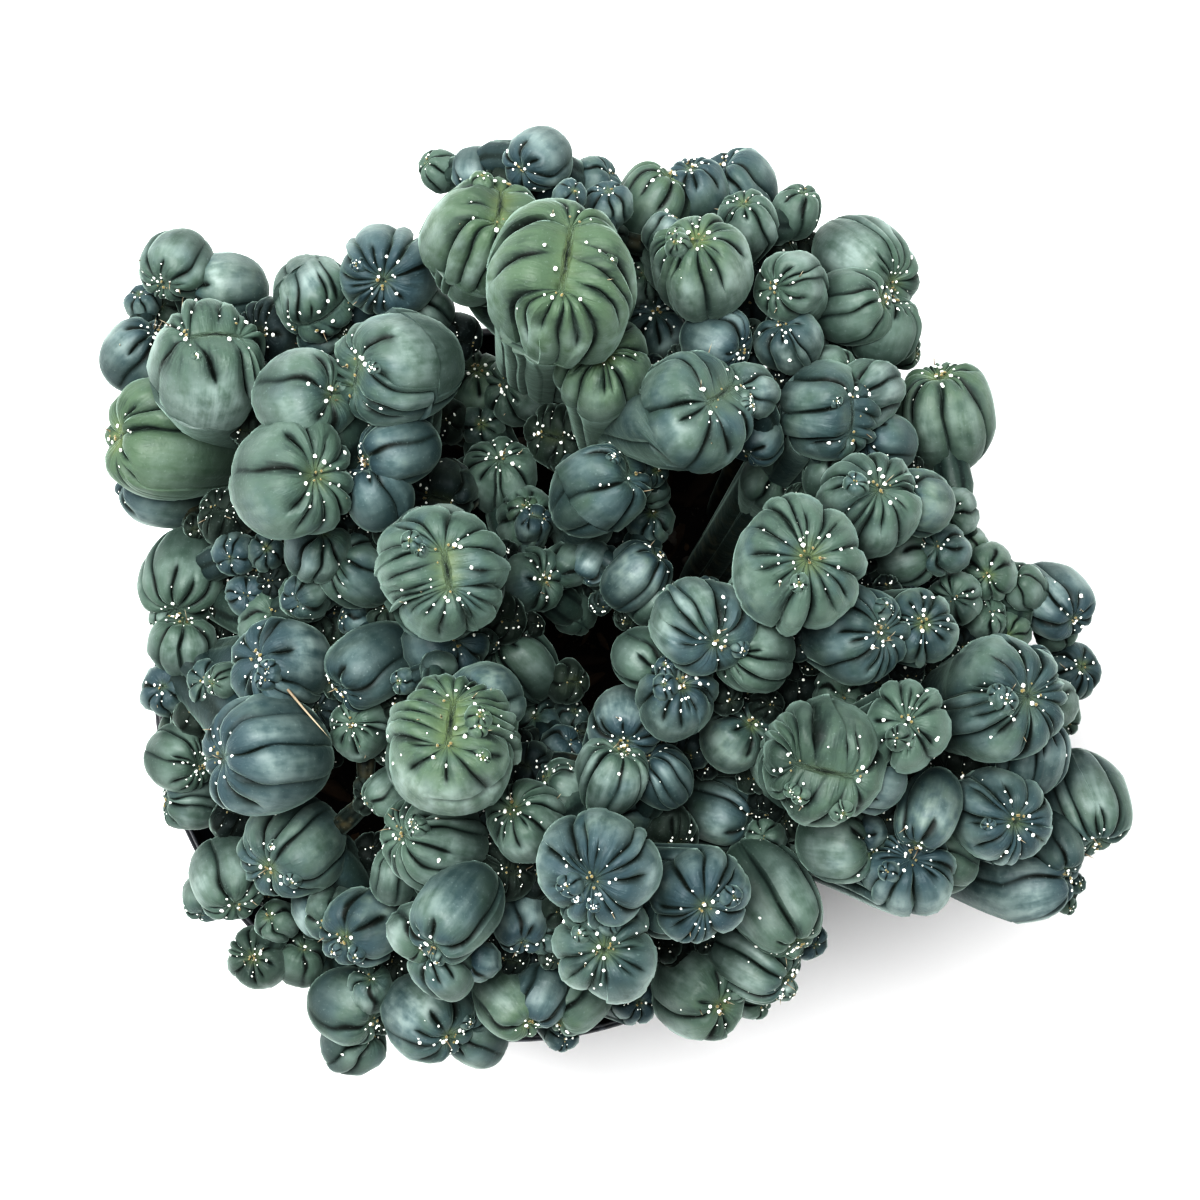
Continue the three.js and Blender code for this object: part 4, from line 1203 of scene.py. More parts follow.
        wave = large * np.sin(2 * turn + phase + 1.3 * down) \
            + middling * np.sin(3 * turn - 2 * phase + 2.1 * down) \
            + little * np.sin(5 * turn + 3 * phase) * np.sin(4 * down + phase)
        crown = self.columns((self.each(0.5) - 0.5) * self.uneven) * lobe * smooth(0.1, 0.7, down)
        return plain - dent + wave * smooth(0.2, 1.0, down) + crown, crease

    def skin(self, mesh: Mesh) -> None:
        """Add the growth's skin to the mesh of its stem.

        Args:
            mesh: The mesh of its stem.
        """
        growth, head, pose, grid = self.growth, self.growth.head, self.growth.pose, self.grid()
        lobe = self.lobes(grid)
        swell, crease = self.relief(grid, lobe)
        split = len(grid.tilts)
        dome = self.dome(grid.shares[:split], np.broadcast_to(grid.down[:split], grid.shares[:split].shape),
                         swell[:split])
        middles, sizes = (growth.back_point if growth.rounded else growth.limb_point)(grid.walks)
        limb = self.limb_rings(grid.shares[split:], middles, sizes, swell[split:], grid.walks)
        tip = pose.middle + pose.axis * head.radius * head.stretch * (self.puff - self.dimple)
        points = np.concatenate([dome.reshape(-1, 3), limb.reshape(-1, 3), [tip], [middles[-1]]])
        mesh.add(points, grid_faces(*grid.shares.shape), marks=self.marks(grid, lobe, crease),
                 tones=self.tones, turns=self.turns(grid, points))
        if growth.rounded and growth.kind is not Kind.LOBE:
            self.stalk(mesh)

    @property
    def tones(self) -> list[float]:
        """How blue, light, yellow and worn the head is."""
        blue, yellow = self.growth.hue
        return [blue, noise(self.growth.number, 12.7), yellow, 0.9 * noise(self.growth.number, 14.5)]

    def marks(self, grid: Grid, lobe: np.ndarray, crease: np.ndarray) -> np.ndarray:
        """Mark each point's crease shade, youth, crown with its pale wax and painted highlight, and older
        skin with painted underside shade.

        Args:
            grid: The head's grid.
            lobe: How far each point stands up its lobe.
            crease: How deep in a crease each point lies.

        Returns:
            The four marks of each point.
        """
        down, even = grid.down, np.ones(grid.shares.shape[1])
        spread_out = 0.85 * smooth(0.15, 0.7, self.growth.pose.crest_half)
        youth = np.exp(-(down / 0.3) ** 1.5) * even * (1 - spread_out)
        # The crown band of each lobe, for its pale wax and a painted highlight.
        crown_wax_and_highlight = lobe * smooth(0.5, 1.25, down) * (1 - smooth(1.75, 2.3, down))
        # Crease depth, which the skin paints as shade, fainter right at the apex.
        crease = np.clip(crease * (0.35 + 0.65 * smooth(0.05, 0.5, down)), 0, 1)
        # Darker down the limb and under the head: older skin and painted shade.
        older_and_shaded = np.maximum(smooth(1.7, 3.2, down), 0.66 * smooth(1.15, 1.75, down)) * even
        marks = np.stack([crease, youth, crown_wax_and_highlight, older_and_shaded], -1).reshape(-1, 4)
        return np.concatenate([marks, [[0.8, 1, 0, 0], [0.5, 0, 0, 1]]])

    def turns(self, grid: Grid, points: np.ndarray) -> np.ndarray:
        """Find each point's place for the wrinkles, and its gloom.

        Args:
            grid: The head's grid.
            points: The skin's points.

        Returns:
            Two places round the head, one down it, and the gloom.
        """
        number, scale = self.growth.number, self.growth.head.radius / 12
        heading, down = TURN * grid.shares, np.broadcast_to(grid.down, grid.shares.shape)
        turns = np.stack([np.cos(heading) * scale, np.sin(heading) * scale, down * 0.3 * scale + number], -1)
        turns = np.concatenate([turns.reshape(-1, 3), [[0, 0, number]] * 2])
        return np.concatenate([turns, self.gloom(points, 0.65)[:, None]], axis=1)

    def gloom(self, points: np.ndarray, side_light: float) -> np.ndarray:
        """Find how dark it is low in the clump, less so towards its outer side.

        Args:
            points: The points.
            side_light: How much less dark it is at the outer side.

        Returns:
            The gloom at each point.
        """
        outer = smooth(70, 115, np.hypot(points[:, 0], points[:, 1]))
        deep = 1 - smooth(self.deep_z, self.lit_z, points[:, 2])
        return np.clip(deep * (1 - side_light * outer) + self.growth.shaded, 0, 1)

    def stalk(self, mesh: Mesh) -> None:
        """Add the ribbed stalk that carries a head with a round back.

        Args:
            mesh: The mesh of its stem.
        """
        growth, columns = self.growth, self.stalk_ribs * 5
        steps = max(5, round(growth.length / 5))
        walks = np.linspace(0.0, 1, steps)
        middles, sizes = growth.limb_point(walks)
        sizes = np.minimum(sizes, growth.head.radius * (0.74 + 0.2 * smooth(0.2, 0.6, walks)))
        shares = np.broadcast_to(np.linspace(0, 1, columns, endpoint=False), (steps, columns))
        lobe = np.abs(np.sin(math.pi * shares * self.stalk_ribs)) ** 0.6
        rings = self.limb_rings(shares, middles, sizes, 1 - 0.14 * (1 - lobe), walks)
        points = np.concatenate([rings.reshape(-1, 3), [middles[0]], [middles[-1]]])
        # Darker down the stalk: older skin and painted shade; its rib hollows take painted crease shade.
        older_and_shaded = np.broadcast_to(np.clip(0.35 + walks, 0, 1)[:, None], shares.shape)
        marks = np.stack([1 - lobe, lobe * 0, lobe * 0, older_and_shaded], -1).reshape(-1, 4)
        marks = np.concatenate([marks, [[1, 0, 0, 1]] * 2])
        turns = np.concatenate([points / [9, 9, 30], self.gloom(points, 0.0)[:, None]], axis=1)
        mesh.add(points, grid_faces(steps, columns), marks=marks, tones=self.tones, turns=turns)

    def limb_rings(self, shares: np.ndarray, middles: np.ndarray, sizes: np.ndarray, swell: np.ndarray,
                   walks: np.ndarray) -> np.ndarray:
        """Ring the limb, turning step by step from the head's arms to the way down.

        Args:
            shares: Each point's share of a turn, by ring.
            middles: The middle of each ring.
            sizes: The radius of each ring.
            swell: How far each point stands out, in radii.
            walks: Shares of the way down.

        Returns:
            The rings.
        """
        pose, growth = self.growth.pose, self.growth
        rings, arms, facing = [], (pose.along, pose.side), -pose.axis
        for i, (middle, size) in enumerate(zip(middles, sizes)):
            ahead = middles[min(i + 1, len(middles) - 1)] - middles[max(i - 1, 0)]
            ahead = unit(ahead) if np.linalg.norm(ahead) > 1e-6 else facing
            bent = smooth(0.0, 0.5, walks[i])
            blend = unit(facing * (1 - bent) + ahead * (0.35 + bent))
            turn, _ = turning(facing, blend)
            arms, facing = (turn @ arms[0], turn @ arms[1]), blend
            heading, reach = TURN * shares[i] - math.pi / 2, size * swell[i]
            rings.append(middle + (np.cos(heading) * reach)[:, None] * arms[0]
                         + (np.sin(heading) * reach)[:, None] * arms[1])
        if growth.kind is Kind.TRUNK and np.allclose(middles[-1], growth.root):
            rings[-1][:, 2] = growth.root[2]
        return np.array(rings)

    def areoles(self) -> list[tuple[Vector, Vector, float, float]]:
        """Choose where wool grows on the head.

        Returns:
            For each areole its point, its outward direction, its radius in millimetres and its youth.
        """
        radius, number = self.growth.head.radius, self.growth.number
        scale = 0.62 + 0.38 * smooth(5, 11, radius)
        chosen = []
        for k in range(self.ribs):
            beside = (noise(k, number + 20) - 0.5) * 0.4 / self.ribs
            for step, (chance, tilt, spread) in enumerate(self.wool_rows):
                pick, down, size = (noise(k + 7 * step, number + throw) for throw in (21, 22, 23))
                if pick <= chance and (step == 0 or radius >= 6):
                    chosen.append((self.edges[k] + beside * (1 + step), tilt + spread * down,
                                   scale * (0.5 + 0.95 * size ** 2), 0.15))
        for k in range(3 if radius < 8 else 8):
            share, down, size = (noise(k, number + throw) for throw in (27, 28, 29))
            least, spread, young = (0.7, 0.2, 0.1) if k % 3 == 0 else (0.45, 0.1, 1.0)
            chosen.append((share, 0.03 + spread * down, scale * (least + 0.75 * size), young))
        swell = self.puff - self.wool_sink * self.crease_depth
        points = [self.spot(share, tilt, swell) for share, tilt, _, _ in chosen]
        return [(point, unit(point - self.growth.pose.middle), size, young)
                for point, (_, _, size, young) in zip(points, chosen)]


class Wire:
    """A socket that takes part in sums, so that an expression adds its nodes."""

    def __init__(self, board: "Board", socket: bpy.types.NodeSocket) -> None:
        """Hold the board and the socket."""
        self.board = board
        self.socket = socket

    def __add__(self, other: "Wire | float") -> "Wire":
        """Add."""
        return self.board.sum("ADD", self, other)

    def __sub__(self, other: "Wire | float") -> "Wire":
        """Subtract."""
        return self.board.sum("SUBTRACT", self, other)

    def __rsub__(self, other: float) -> "Wire":
        """Subtract from a number."""
        return self.board.sum("SUBTRACT", other, self)

    def __mul__(self, other: "Wire | float") -> "Wire":
        """Multiply."""
        return self.board.sum("MULTIPLY", self, other)

    def __radd__(self, other: float) -> "Wire":
        """Add, from the right."""
        return self.board.sum("ADD", other, self)

    def output(self, name: str | int) -> "Wire":
        """Return another output of the same node."""
        return Wire(self.board, self.socket.node.outputs[name])

    def between(self, low: float, high: float) -> "Wire":
        """Rise smoothly from 0 at low to 1 at high."""
        return self.board.node("MapRange", {"interpolation_type": "SMOOTHSTEP"},
                               {"Value": self, "From Min": low, "From Max": high})


class Board:
    """The nodes of one material or world."""

    def __init__(self, owner: bpy.types.Material | bpy.types.World) -> None:
        """Start with an empty board.

        Args:
            owner: The material or world that the nodes are for.
        """
        self.owner = owner
        owner.use_nodes = True
        self.tree = owner.node_tree
        self.tree.nodes.clear()

    def node(self, kind: str, settings: dict[str, Any] | None = None, inputs: dict[Any, Any] | None = None,
             out: int | str = 0) -> Wire | None:
        """Add any node.

        Args:
            kind: The node's type, without its shader prefix.
            settings: Its own settings, set first.
            inputs: The values or wires of its sockets.
            out: The output that the wire leaves from.

        Returns:
            The output's wire, if the node has outputs.
        """
        made = self.tree.nodes.new("ShaderNode" + kind)
        for key, value in (settings or {}).items():
            setattr(made, key, value)
        for key, value in (inputs or {}).items():
            socket = made.inputs[key]
            if isinstance(value, Wire):
                self.tree.links.new(value.socket, socket)
            else:
                socket.default_value = (*value, 1.0) if socket.type == "RGBA" else value
        return Wire(self, made.outputs[out]) if made.outputs else None

    def sum(self, operation: str, first: Wire | float, second: Wire | float) -> Wire:
        """Work on two values."""
        return self.node("Math", {"operation": operation}, {0: first, 1: second})

    def blend(self, factor: Wire | float, first: Wire | Colour, second: Wire | Colour) -> Wire:
        """Blend two colours."""
        return self.node("Mix", {"data_type": "RGBA"}, {0: factor, 6: first, 7: second}, 2)

    def clouds(self, place: Wire, scale: float, detail: float, rough: float) -> Wire:
        """Return clouds of a scale over a place."""
        return self.node("TexNoise", None, {"Vector": place, "Scale": scale, "Detail": detail,
                                            "Roughness": rough})

    def grain(self, size: float, detail: float = 3.0, rough: float = 0.5) -> Wire:
        """Return clouds of about a size in millimetres on the object."""
        return self.clouds(self.node("TexCoord", out="Object"), 1 / (size * MM), detail, rough)

    def paint(self, layer: str) -> Wire:
        """Return the shades painted on the points."""
        return self.node("VertexColor", {"layer_name": layer})

    def marks(self, layer: str) -> tuple[Wire, Wire, Wire, Wire]:
        """Return the four shades painted on the points, one by one."""
        paint = self.paint(layer)
        split = self.node("SeparateColor", None, {0: paint})
        return split, split.output(1), split.output(2), paint.output("Alpha")

    def bump(self, height: Wire, depth: float, under: Wire | None = None) -> Wire:
        """Raise the surface by a height.

        Args:
            height: The height, from 0 to 1.
            depth: How far 1 stands up, in millimetres.
            under: A bump that this one lies on.

        Returns:
            The normal.
        """
        inputs = {"Height": height, "Distance": depth * MM, "Strength": 1.0}
        if under is not None:
            inputs["Normal"] = under
        return self.node("Bump", None, inputs)

    def finish(self, **sockets: Any) -> bpy.types.Material:
        """Close the board with one shader.

        Args:
            **sockets: The values or wires of the shader's sockets, with underscores for spaces.

        Returns:
            The material.
        """
        inputs = {key.replace("_", " "): value for key, value in sockets.items()}
        self.node("OutputMaterial", None, {"Surface": self.node("BsdfPrincipled", None, inputs)})
        return self.owner


@dataclass(frozen=True)
class Finish:
    """What every finish has: a name and its own board."""

    name: str

    def board(self) -> Board:
        """Return an empty board for the finish's material."""
        return Board(bpy.data.materials.new(self.name))


@dataclass(frozen=True)
class SkinFinish(Finish):
    """Waxy blue-green skin with pale wax and a painted highlight on the lobe crowns, painted shade in the
    creases, under the heads and low in the clump, and yellow-green growth at the apex.
    """

    name: str = "waxy_skin"
    sage: Colour = (0.070, 0.104, 0.084)
    blue: Colour = (0.054, 0.086, 0.090)
    green: Colour = (0.072, 0.108, 0.072)
    dull: Colour = (0.034, 0.052, 0.042)
    slate: Colour = (0.026, 0.045, 0.056)
    pale: Colour = (0.250, 0.305, 0.290)
    young: Colour = (0.135, 0.165, 0.062)
    hollow: Colour = (0.016, 0.028, 0.026)
    shade: Colour = (0.003, 0.006, 0.004)
    cork: Colour = (0.12, 0.10, 0.055)
    gleam: Colour = (0.72, 0.95, 0.84)

    def make(self) -> bpy.types.Material:
        """Make the material."""
        board = self.board()
        crease, youth, crown_wax_and_highlight, older_and_shaded = board.marks("marks")
        blue, light, yellow, wear = board.marks("tones")
        around = board.paint("turns")
        gloom = around.output("Alpha")
        pucker = board.clouds(around, 3.6, 3.0, 0.6)
        cloud, patch, fleck = board.grain(14, 2), board.grain(4.5, 3), board.grain(0.8, 2)
        plain = 1 - crown_wax_and_highlight
        colour = board.blend((blue + (cloud - 0.5) * 1.2).between(0.42, 0.75), self.sage, self.blue)
        colour = board.blend((yellow + (patch - 0.5) * 0.7).between(0.62, 0.95), colour, self.green)
        colour = board.blend((wear + (cloud - 0.5) * 0.8).between(0.72, 1.0) * 0.8, colour, self.dull)
        # Blue heads go slate away from their lobe crowns: their own bluer tone, darkened as a painted shade.
        blue_tone_and_shade = plain * (blue + (patch - 0.5) * 0.9).between(0.25, 0.9)
        colour = board.blend(blue_tone_and_shade * 0.6, colour, self.slate)
        # Pale on the lobe crowns: partly the skin's pale wax, partly a painted highlight.
        wax_and_highlight = crown_wax_and_highlight * (0.25 + light * 0.6) * (patch * 0.5 + pucker * 0.5).between(0.3, 0.68)
        colour = board.blend(wax_and_highlight, colour, self.pale)
        fresh = (youth * 0.9 + (pucker - 0.5) * 1.2 * youth) * (0.3 + yellow * 0.75)
        colour = board.blend(fresh.between(0.2, 0.95) * 0.7, colour, self.young)
        # Painted shade in the creases and in the puckered folds off the crowns, darkest at the crease line.
        folds = (pucker - 0.5) * plain * 1.6
        colour = board.blend((crease + folds).between(0.05, 0.85) * 0.8, colour, self.hollow)
        colour = board.blend((crease + folds * 0.3).between(0.38, 0.88) * 0.97, colour, self.shade)
        # Darker under each head and down its limb: older skin and painted shade.
        colour = board.blend(older_and_shaded * 0.75, colour, self.hollow)
        # Painted shade: skin low in the clump, and on the small heads set in its gaps, darkens towards
        # near-black.
        colour = board.blend(gloom * 0.95, colour, self.shade)
        colour = board.blend(older_and_shaded * gloom * patch.between(0.45, 0.7) * 0.5, colour, self.cork)
        colour = board.blend(fleck.between(0.62, 0.75) * 0.14, colour, self.pale)
        rough = 0.44 + patch * 0.16 - crown_wax_and_highlight * 0.05 + (crease + gloom) * 0.2
        relief = board.bump(pucker * plain * (1 - older_and_shaded), 0.7, board.bump(patch, 0.3))
        return board.finish(Base_Color=colour, Roughness=rough, Normal=board.bump(fleck, 0.06, relief),
                            Sheen_Weight=0.22, Sheen_Roughness=0.35, Sheen_Tint=self.gleam, IOR=1.36)


@dataclass(frozen=True)
class WoolFinish(Finish):
    """Short felt: white on the shoulders, ochre in the growing apex."""

    name: str = "areole_felt"
    white: Colour = (0.86, 0.88, 0.82)
    cream: Colour = (0.45, 0.41, 0.20)
    ochre: Colour = (0.17, 0.135, 0.035)
    tan: Colour = (0.12, 0.07, 0.03)

    def make(self) -> bpy.types.Material:
        """Make the material."""
        board = self.board()
        young, root, _, _ = board.marks("marks")
        fluff, thread = board.grain(0.9, 3), board.grain(0.25, 2, 0.7)
        colour = board.blend(young.between(0.1, 0.5), self.white, self.cream)
        colour = board.blend(young.between(0.5, 1.0), colour, self.ochre)
        colour = board.blend(fluff.between(0.5, 0.75) * young * 0.5, colour, self.tan)
        colour = board.blend(root.between(0.3, 1.0) * 0.5, colour, self.tan)
        return board.finish(Base_Color=colour, Roughness=0.9 + fluff * 0.1, Normal=board.bump(thread, 0.25),
                            Sheen_Weight=0.5, Sheen_Roughness=0.6)


@dataclass(frozen=True)
class SpineFinish(Finish):
    """Thin tan spines, browner at the root."""

    name: str = "spine_horn"
    tan: Colour = (0.40, 0.35, 0.26)
    brown: Colour = (0.10, 0.065, 0.04)

    def make(self) -> bpy.types.Material:
        """Make the material."""
        board = self.board()
        root, _, _, _ = board.marks("marks")
        streak = board.grain(1.2, 3)
        colour = board.blend(root.between(0.2, 1.0) * (0.6 + streak * 0.4), self.tan, self.brown)
        return board.finish(Base_Color=colour, Roughness=0.5 + streak * 0.2, Normal=board.bump(streak, 0.05))


@dataclass(frozen=True)
class PotFinish(Finish):
    """Thin black nursery plastic, rubbed pale and given a painted bluish highlight along its rim, and dusty
    low down.
    """

    name: str = "nursery_plastic"
    black: Colour = (0.010, 0.012, 0.016)
    rim_rub_and_highlight: Colour = (0.075, 0.085, 0.100)
    dust: Colour = (0.085, 0.070, 0.050)

    def make(self) -> bpy.types.Material:
        """Make the material."""
        board = self.board()
        rim, low, _, _ = board.marks("marks")
        broad, streak, fine = board.grain(22, 3), board.grain(5, 4, 0.6), board.grain(0.7, 2)
        # Rubbed pale along the rim, with a painted bluish highlight there too.
        colour = board.blend(rim * streak.between(0.45, 0.7) * 0.7, self.black, self.rim_rub_and_highlight)
        colour = board.blend(broad.between(0.45, 0.7) * (0.15 + low * 0.45), colour, self.dust)
        rough = 0.30 + streak * 0.22 + low * 0.1
        return board.finish(Base_Color=colour, Roughness=rough, Normal=board.bump(fine, 0.03))


@dataclass(frozen=True)
class SoilFinish(Finish):
    """Damp dark mix with grit and fibre."""

    name: str = "potting_mix"
    peat: Colour = (0.005, 0.004, 0.003)
    loam: Colour = (0.013, 0.009, 0.006)
    grit: Colour = (0.09, 0.08, 0.065)

    def make(self) -> bpy.types.Material:
        """Make the material."""
        board = self.board()
        clod, crumb, speck = board.grain(7, 4, 0.6), board.grain(2.2, 4, 0.65), board.grain(0.9, 1)
        colour = board.blend(crumb.between(0.35, 0.7), self.peat, self.loam)
        colour = board.blend(speck.between(0.66, 0.72) * clod.between(0.4, 0.6), colour, self.grit)
        relief = board.bump(crumb, 1.2, board.bump(clod, 2.5))
        return board.finish(Base_Color=colour, Roughness=0.95 - speck * 0.15, Normal=relief)


@dataclass(frozen=True)
class LitterFinish(Finish):
    """Bark chips, dry scraps and grit, each piece with its own shade."""

    name: str = "bark_and_grit"
    bark: Colour = (0.014, 0.008, 0.005)
    straw: Colour = (0.12, 0.08, 0.045)
    stone: Colour = (0.12, 0.11, 0.095)

    def make(self) -> bpy.types.Material:
        """Make the material."""
        board = self.board()
        dry, stony, _, _ = board.marks("marks")
        fibre = board.grain(1.4, 4, 0.65)
        colour = board.blend(dry * (0.6 + fibre * 0.6), self.bark, self.straw)
        colour = board.blend(stony * (0.5 + fibre * 0.6), colour, self.stone)
        return board.finish(Base_Color=colour, Roughness=0.8 + fibre * 0.2, Normal=board.bump(fibre, 0.4))


@dataclass(frozen=True)
class FloorFinish(Finish):
    """Plain pale paper floor."""

    name: str = "studio_floor"
    paper: Colour = (0.86, 0.86, 0.86)
    smudge: Colour = (0.8, 0.8, 0.8)

    def make(self) -> bpy.types.Material:
        """Make the material."""
        board = self.board()
        colour = board.blend(board.grain(40, 2) * 0.04, self.paper, self.smudge)
        return board.finish(Base_Color=colour, Roughness=0.9)


def ball(fine: int) -> tuple[np.ndarray, np.ndarray]:
    """Return the points and triangles of a ball of radius 1.

    Args:
        fine: How many times a twenty-sided ball is split.

    Returns:
        Its points and its triangles.
    """
    shape = bmesh.new()
    bmesh.ops.create_icosphere(shape, subdivisions=fine, radius=1.0)
    shape.verts.ensure_lookup_table()
    points = np.array([tuple(vertex.co) for vertex in shape.verts])
    faces = np.array([[vertex.index for vertex in face.verts] for face in shape.faces])
    shape.free()
    return points, faces


def circle(sides: int) -> tuple[np.ndarray, np.ndarray, np.ndarray]:
    """Return the headings round a circle, their cosines and their sines."""
    heading = TURN * np.arange(sides) / sides
    return heading, np.cos(heading), np.sin(heading)


def frame_of(out: Vector) -> tuple[Vector, Vector]:
    """Return two directions square to one."""
    first = unit(np.cross(out, [0.31, 0.17, 0.94] if abs(out[2]) < 0.9 else [1.0, 0.2, 0.0]))
    return first, np.cross(out, first)


@dataclass
class Cactus:
    """The clump of stems, its wool and its few spines, in millimetres."""

    clump: Clump = field(default_factory=Clump)
    sharp_angle: float = 52.0
    felt_height: float = 0.62
    felt_size: float = 0.55
    spine_chance: float = 0.07
    spine_length: float = 3.2
    spine_width: float = 0.22
    spine_lean: float = 1.1
    least_spined: float = 7.0
    long_start: tuple[Place, float] = ((278, 678), 100.0)
    long_end: tuple[Place, float] = ((333, 742), 104.0)
    long_arch: float = 1.6
    long_width: float = 0.6

    def build(self) -> list[bpy.types.Object]:
        """Build every stem with its wool and spines, and stand them in for the solids.

        Returns:
            The skins, the wool and the spines.
        """
        skin, wool, horn = SkinFinish().make(), WoolFinish().make(), SpineFinish().make()
        felt, spines, cushion, pieces = Mesh(), Mesh(), ball(1), []
        for stem, grown in zip(STEMS, self.clump.grow()):
            mesh = Mesh()
            for growth in grown:
                skinner, number = HeadSkin(growth), growth.number
                skinner.skin(mesh)
                for i, (point, out, size, young) in enumerate(skinner.areoles()):
                    self.tuft(felt, cushion, point, out, self.felt_size * size, young, number + 0.13 * i)
                    if noise(number, 40 + i) < self.spine_chance and growth.head.radius > self.least_spined:
                        self.spine(spines, point, out, number + 0.37 * i)
            piece = mesh.build(f"skin_{stem.name}", skin, self.sharp_angle)
            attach(piece, BODY)
            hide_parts(f"stem_{stem.name}")
            pieces.append(piece)
        self.long_spine(spines)
        for name, mesh, material in (("areole_wool", felt, wool), ("spines", spines, horn)):
            piece = mesh.build(name, material)
            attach(piece, BODY)
            pieces.append(piece)
        return pieces

    def tuft(self, mesh: Mesh, shape: tuple[np.ndarray, np.ndarray], point: Vector, out: Vector, size: float,
             young: float, seed: float) -> None:
        """Add one cushion of felt.

        Args:
            mesh: The felt's mesh.
            shape: The ball it is made from.
            point: Where it sits.
            out: The way it faces.
            size: Its radius, in millimetres.
            young: How young it is, from 0 to 1.
            seed: What its ragged outline comes from.
        """
        first, second = frame_of(out)
        points, faces = shape
        x, y, z = points.T
        ragged = 1 + 0.16 * np.sin(x * 7 + seed * 31) * np.sin(y * 6 + seed * 17) \
            + 0.10 * np.sin(z * 11 + x * 9 + seed * 5)
        local = points * ragged[:, None] * size
        placed = (point + local[:, :1] * first + local[:, 1:2] * second * 0.9
                  + local[:, 2:3] * out * self.felt_height)
        low = np.clip(-z, 0, 1)
        mesh.add(placed, faces, marks=np.stack([low * 0 + young, low, low * 0, low * 0], -1))

    def spine(self, mesh: Mesh, point: Vector, out: Vector, seed: float) -> None:
        """Add one thin spine.

        Args:
            mesh: The mesh of the spines.
            point: Where it grows.
            out: The way its areole faces.
            seed: What its lean and length come from.
        """
        first, second = frame_of(out)
        over, aside, longer = draws(seed, 1, 2, 3)
        lean = ((over - 0.5) * first + (aside - 0.5) * second) * self.spine_lean
        tip = point + unit(out + lean) * self.spine_length * (0.6 + 0.8 * longer)
        self.needle(mesh, [point - out * 0.3, (point + tip) / 2 + out * 0.15, tip], self.spine_width)

    def needle(self, mesh: Mesh, stops: list[Vector], width: float, sides: int = 5) -> None:
        """Add a tapering needle.

        Args:
            mesh: The mesh of the spines.
            stops: The points that it runs through.
            width: Its radius at the root, in millimetres.
            sides: How many sides it has.
        """
        _, across, over = circle(sides)
        rings, marks = [], []
        for i, stop in enumerate(stops[:-1]):
            first, second = frame_of(unit(stops[i + 1] - stop))
            size = width * (1 - 0.85 * i / (len(stops) - 1))
            rings.append(stop + size * (across[:, None] * first + over[:, None] * second))
            marks += [[1 - i / len(stops), 0, 0, 0]] * sides
        points = np.concatenate([*rings, [stops[0]], [stops[-1]]])
        marks += [[1, 0, 0, 0], [0, 0, 0, 0]]
        mesh.add(points, grid_faces(len(stops) - 1, sides)[:, ::-1], marks=np.array(marks))

    def long_spine(self, mesh: Mesh) -> None:
        """Add the one long dry spine that leans across two heads at the west.

        Args:
            mesh: The mesh of the spines.
        """
        start, end = PLAN.point(*self.long_start), PLAN.point(*self.long_end)
        middle = (start + end) / 2 + np.array([0, 0, self.long_arch])
        stops = [start, start * 0.6 + middle * 0.4, middle, middle * 0.5 + end * 0.5, end]
        self.needle(mesh, stops, self.long_width, 6)


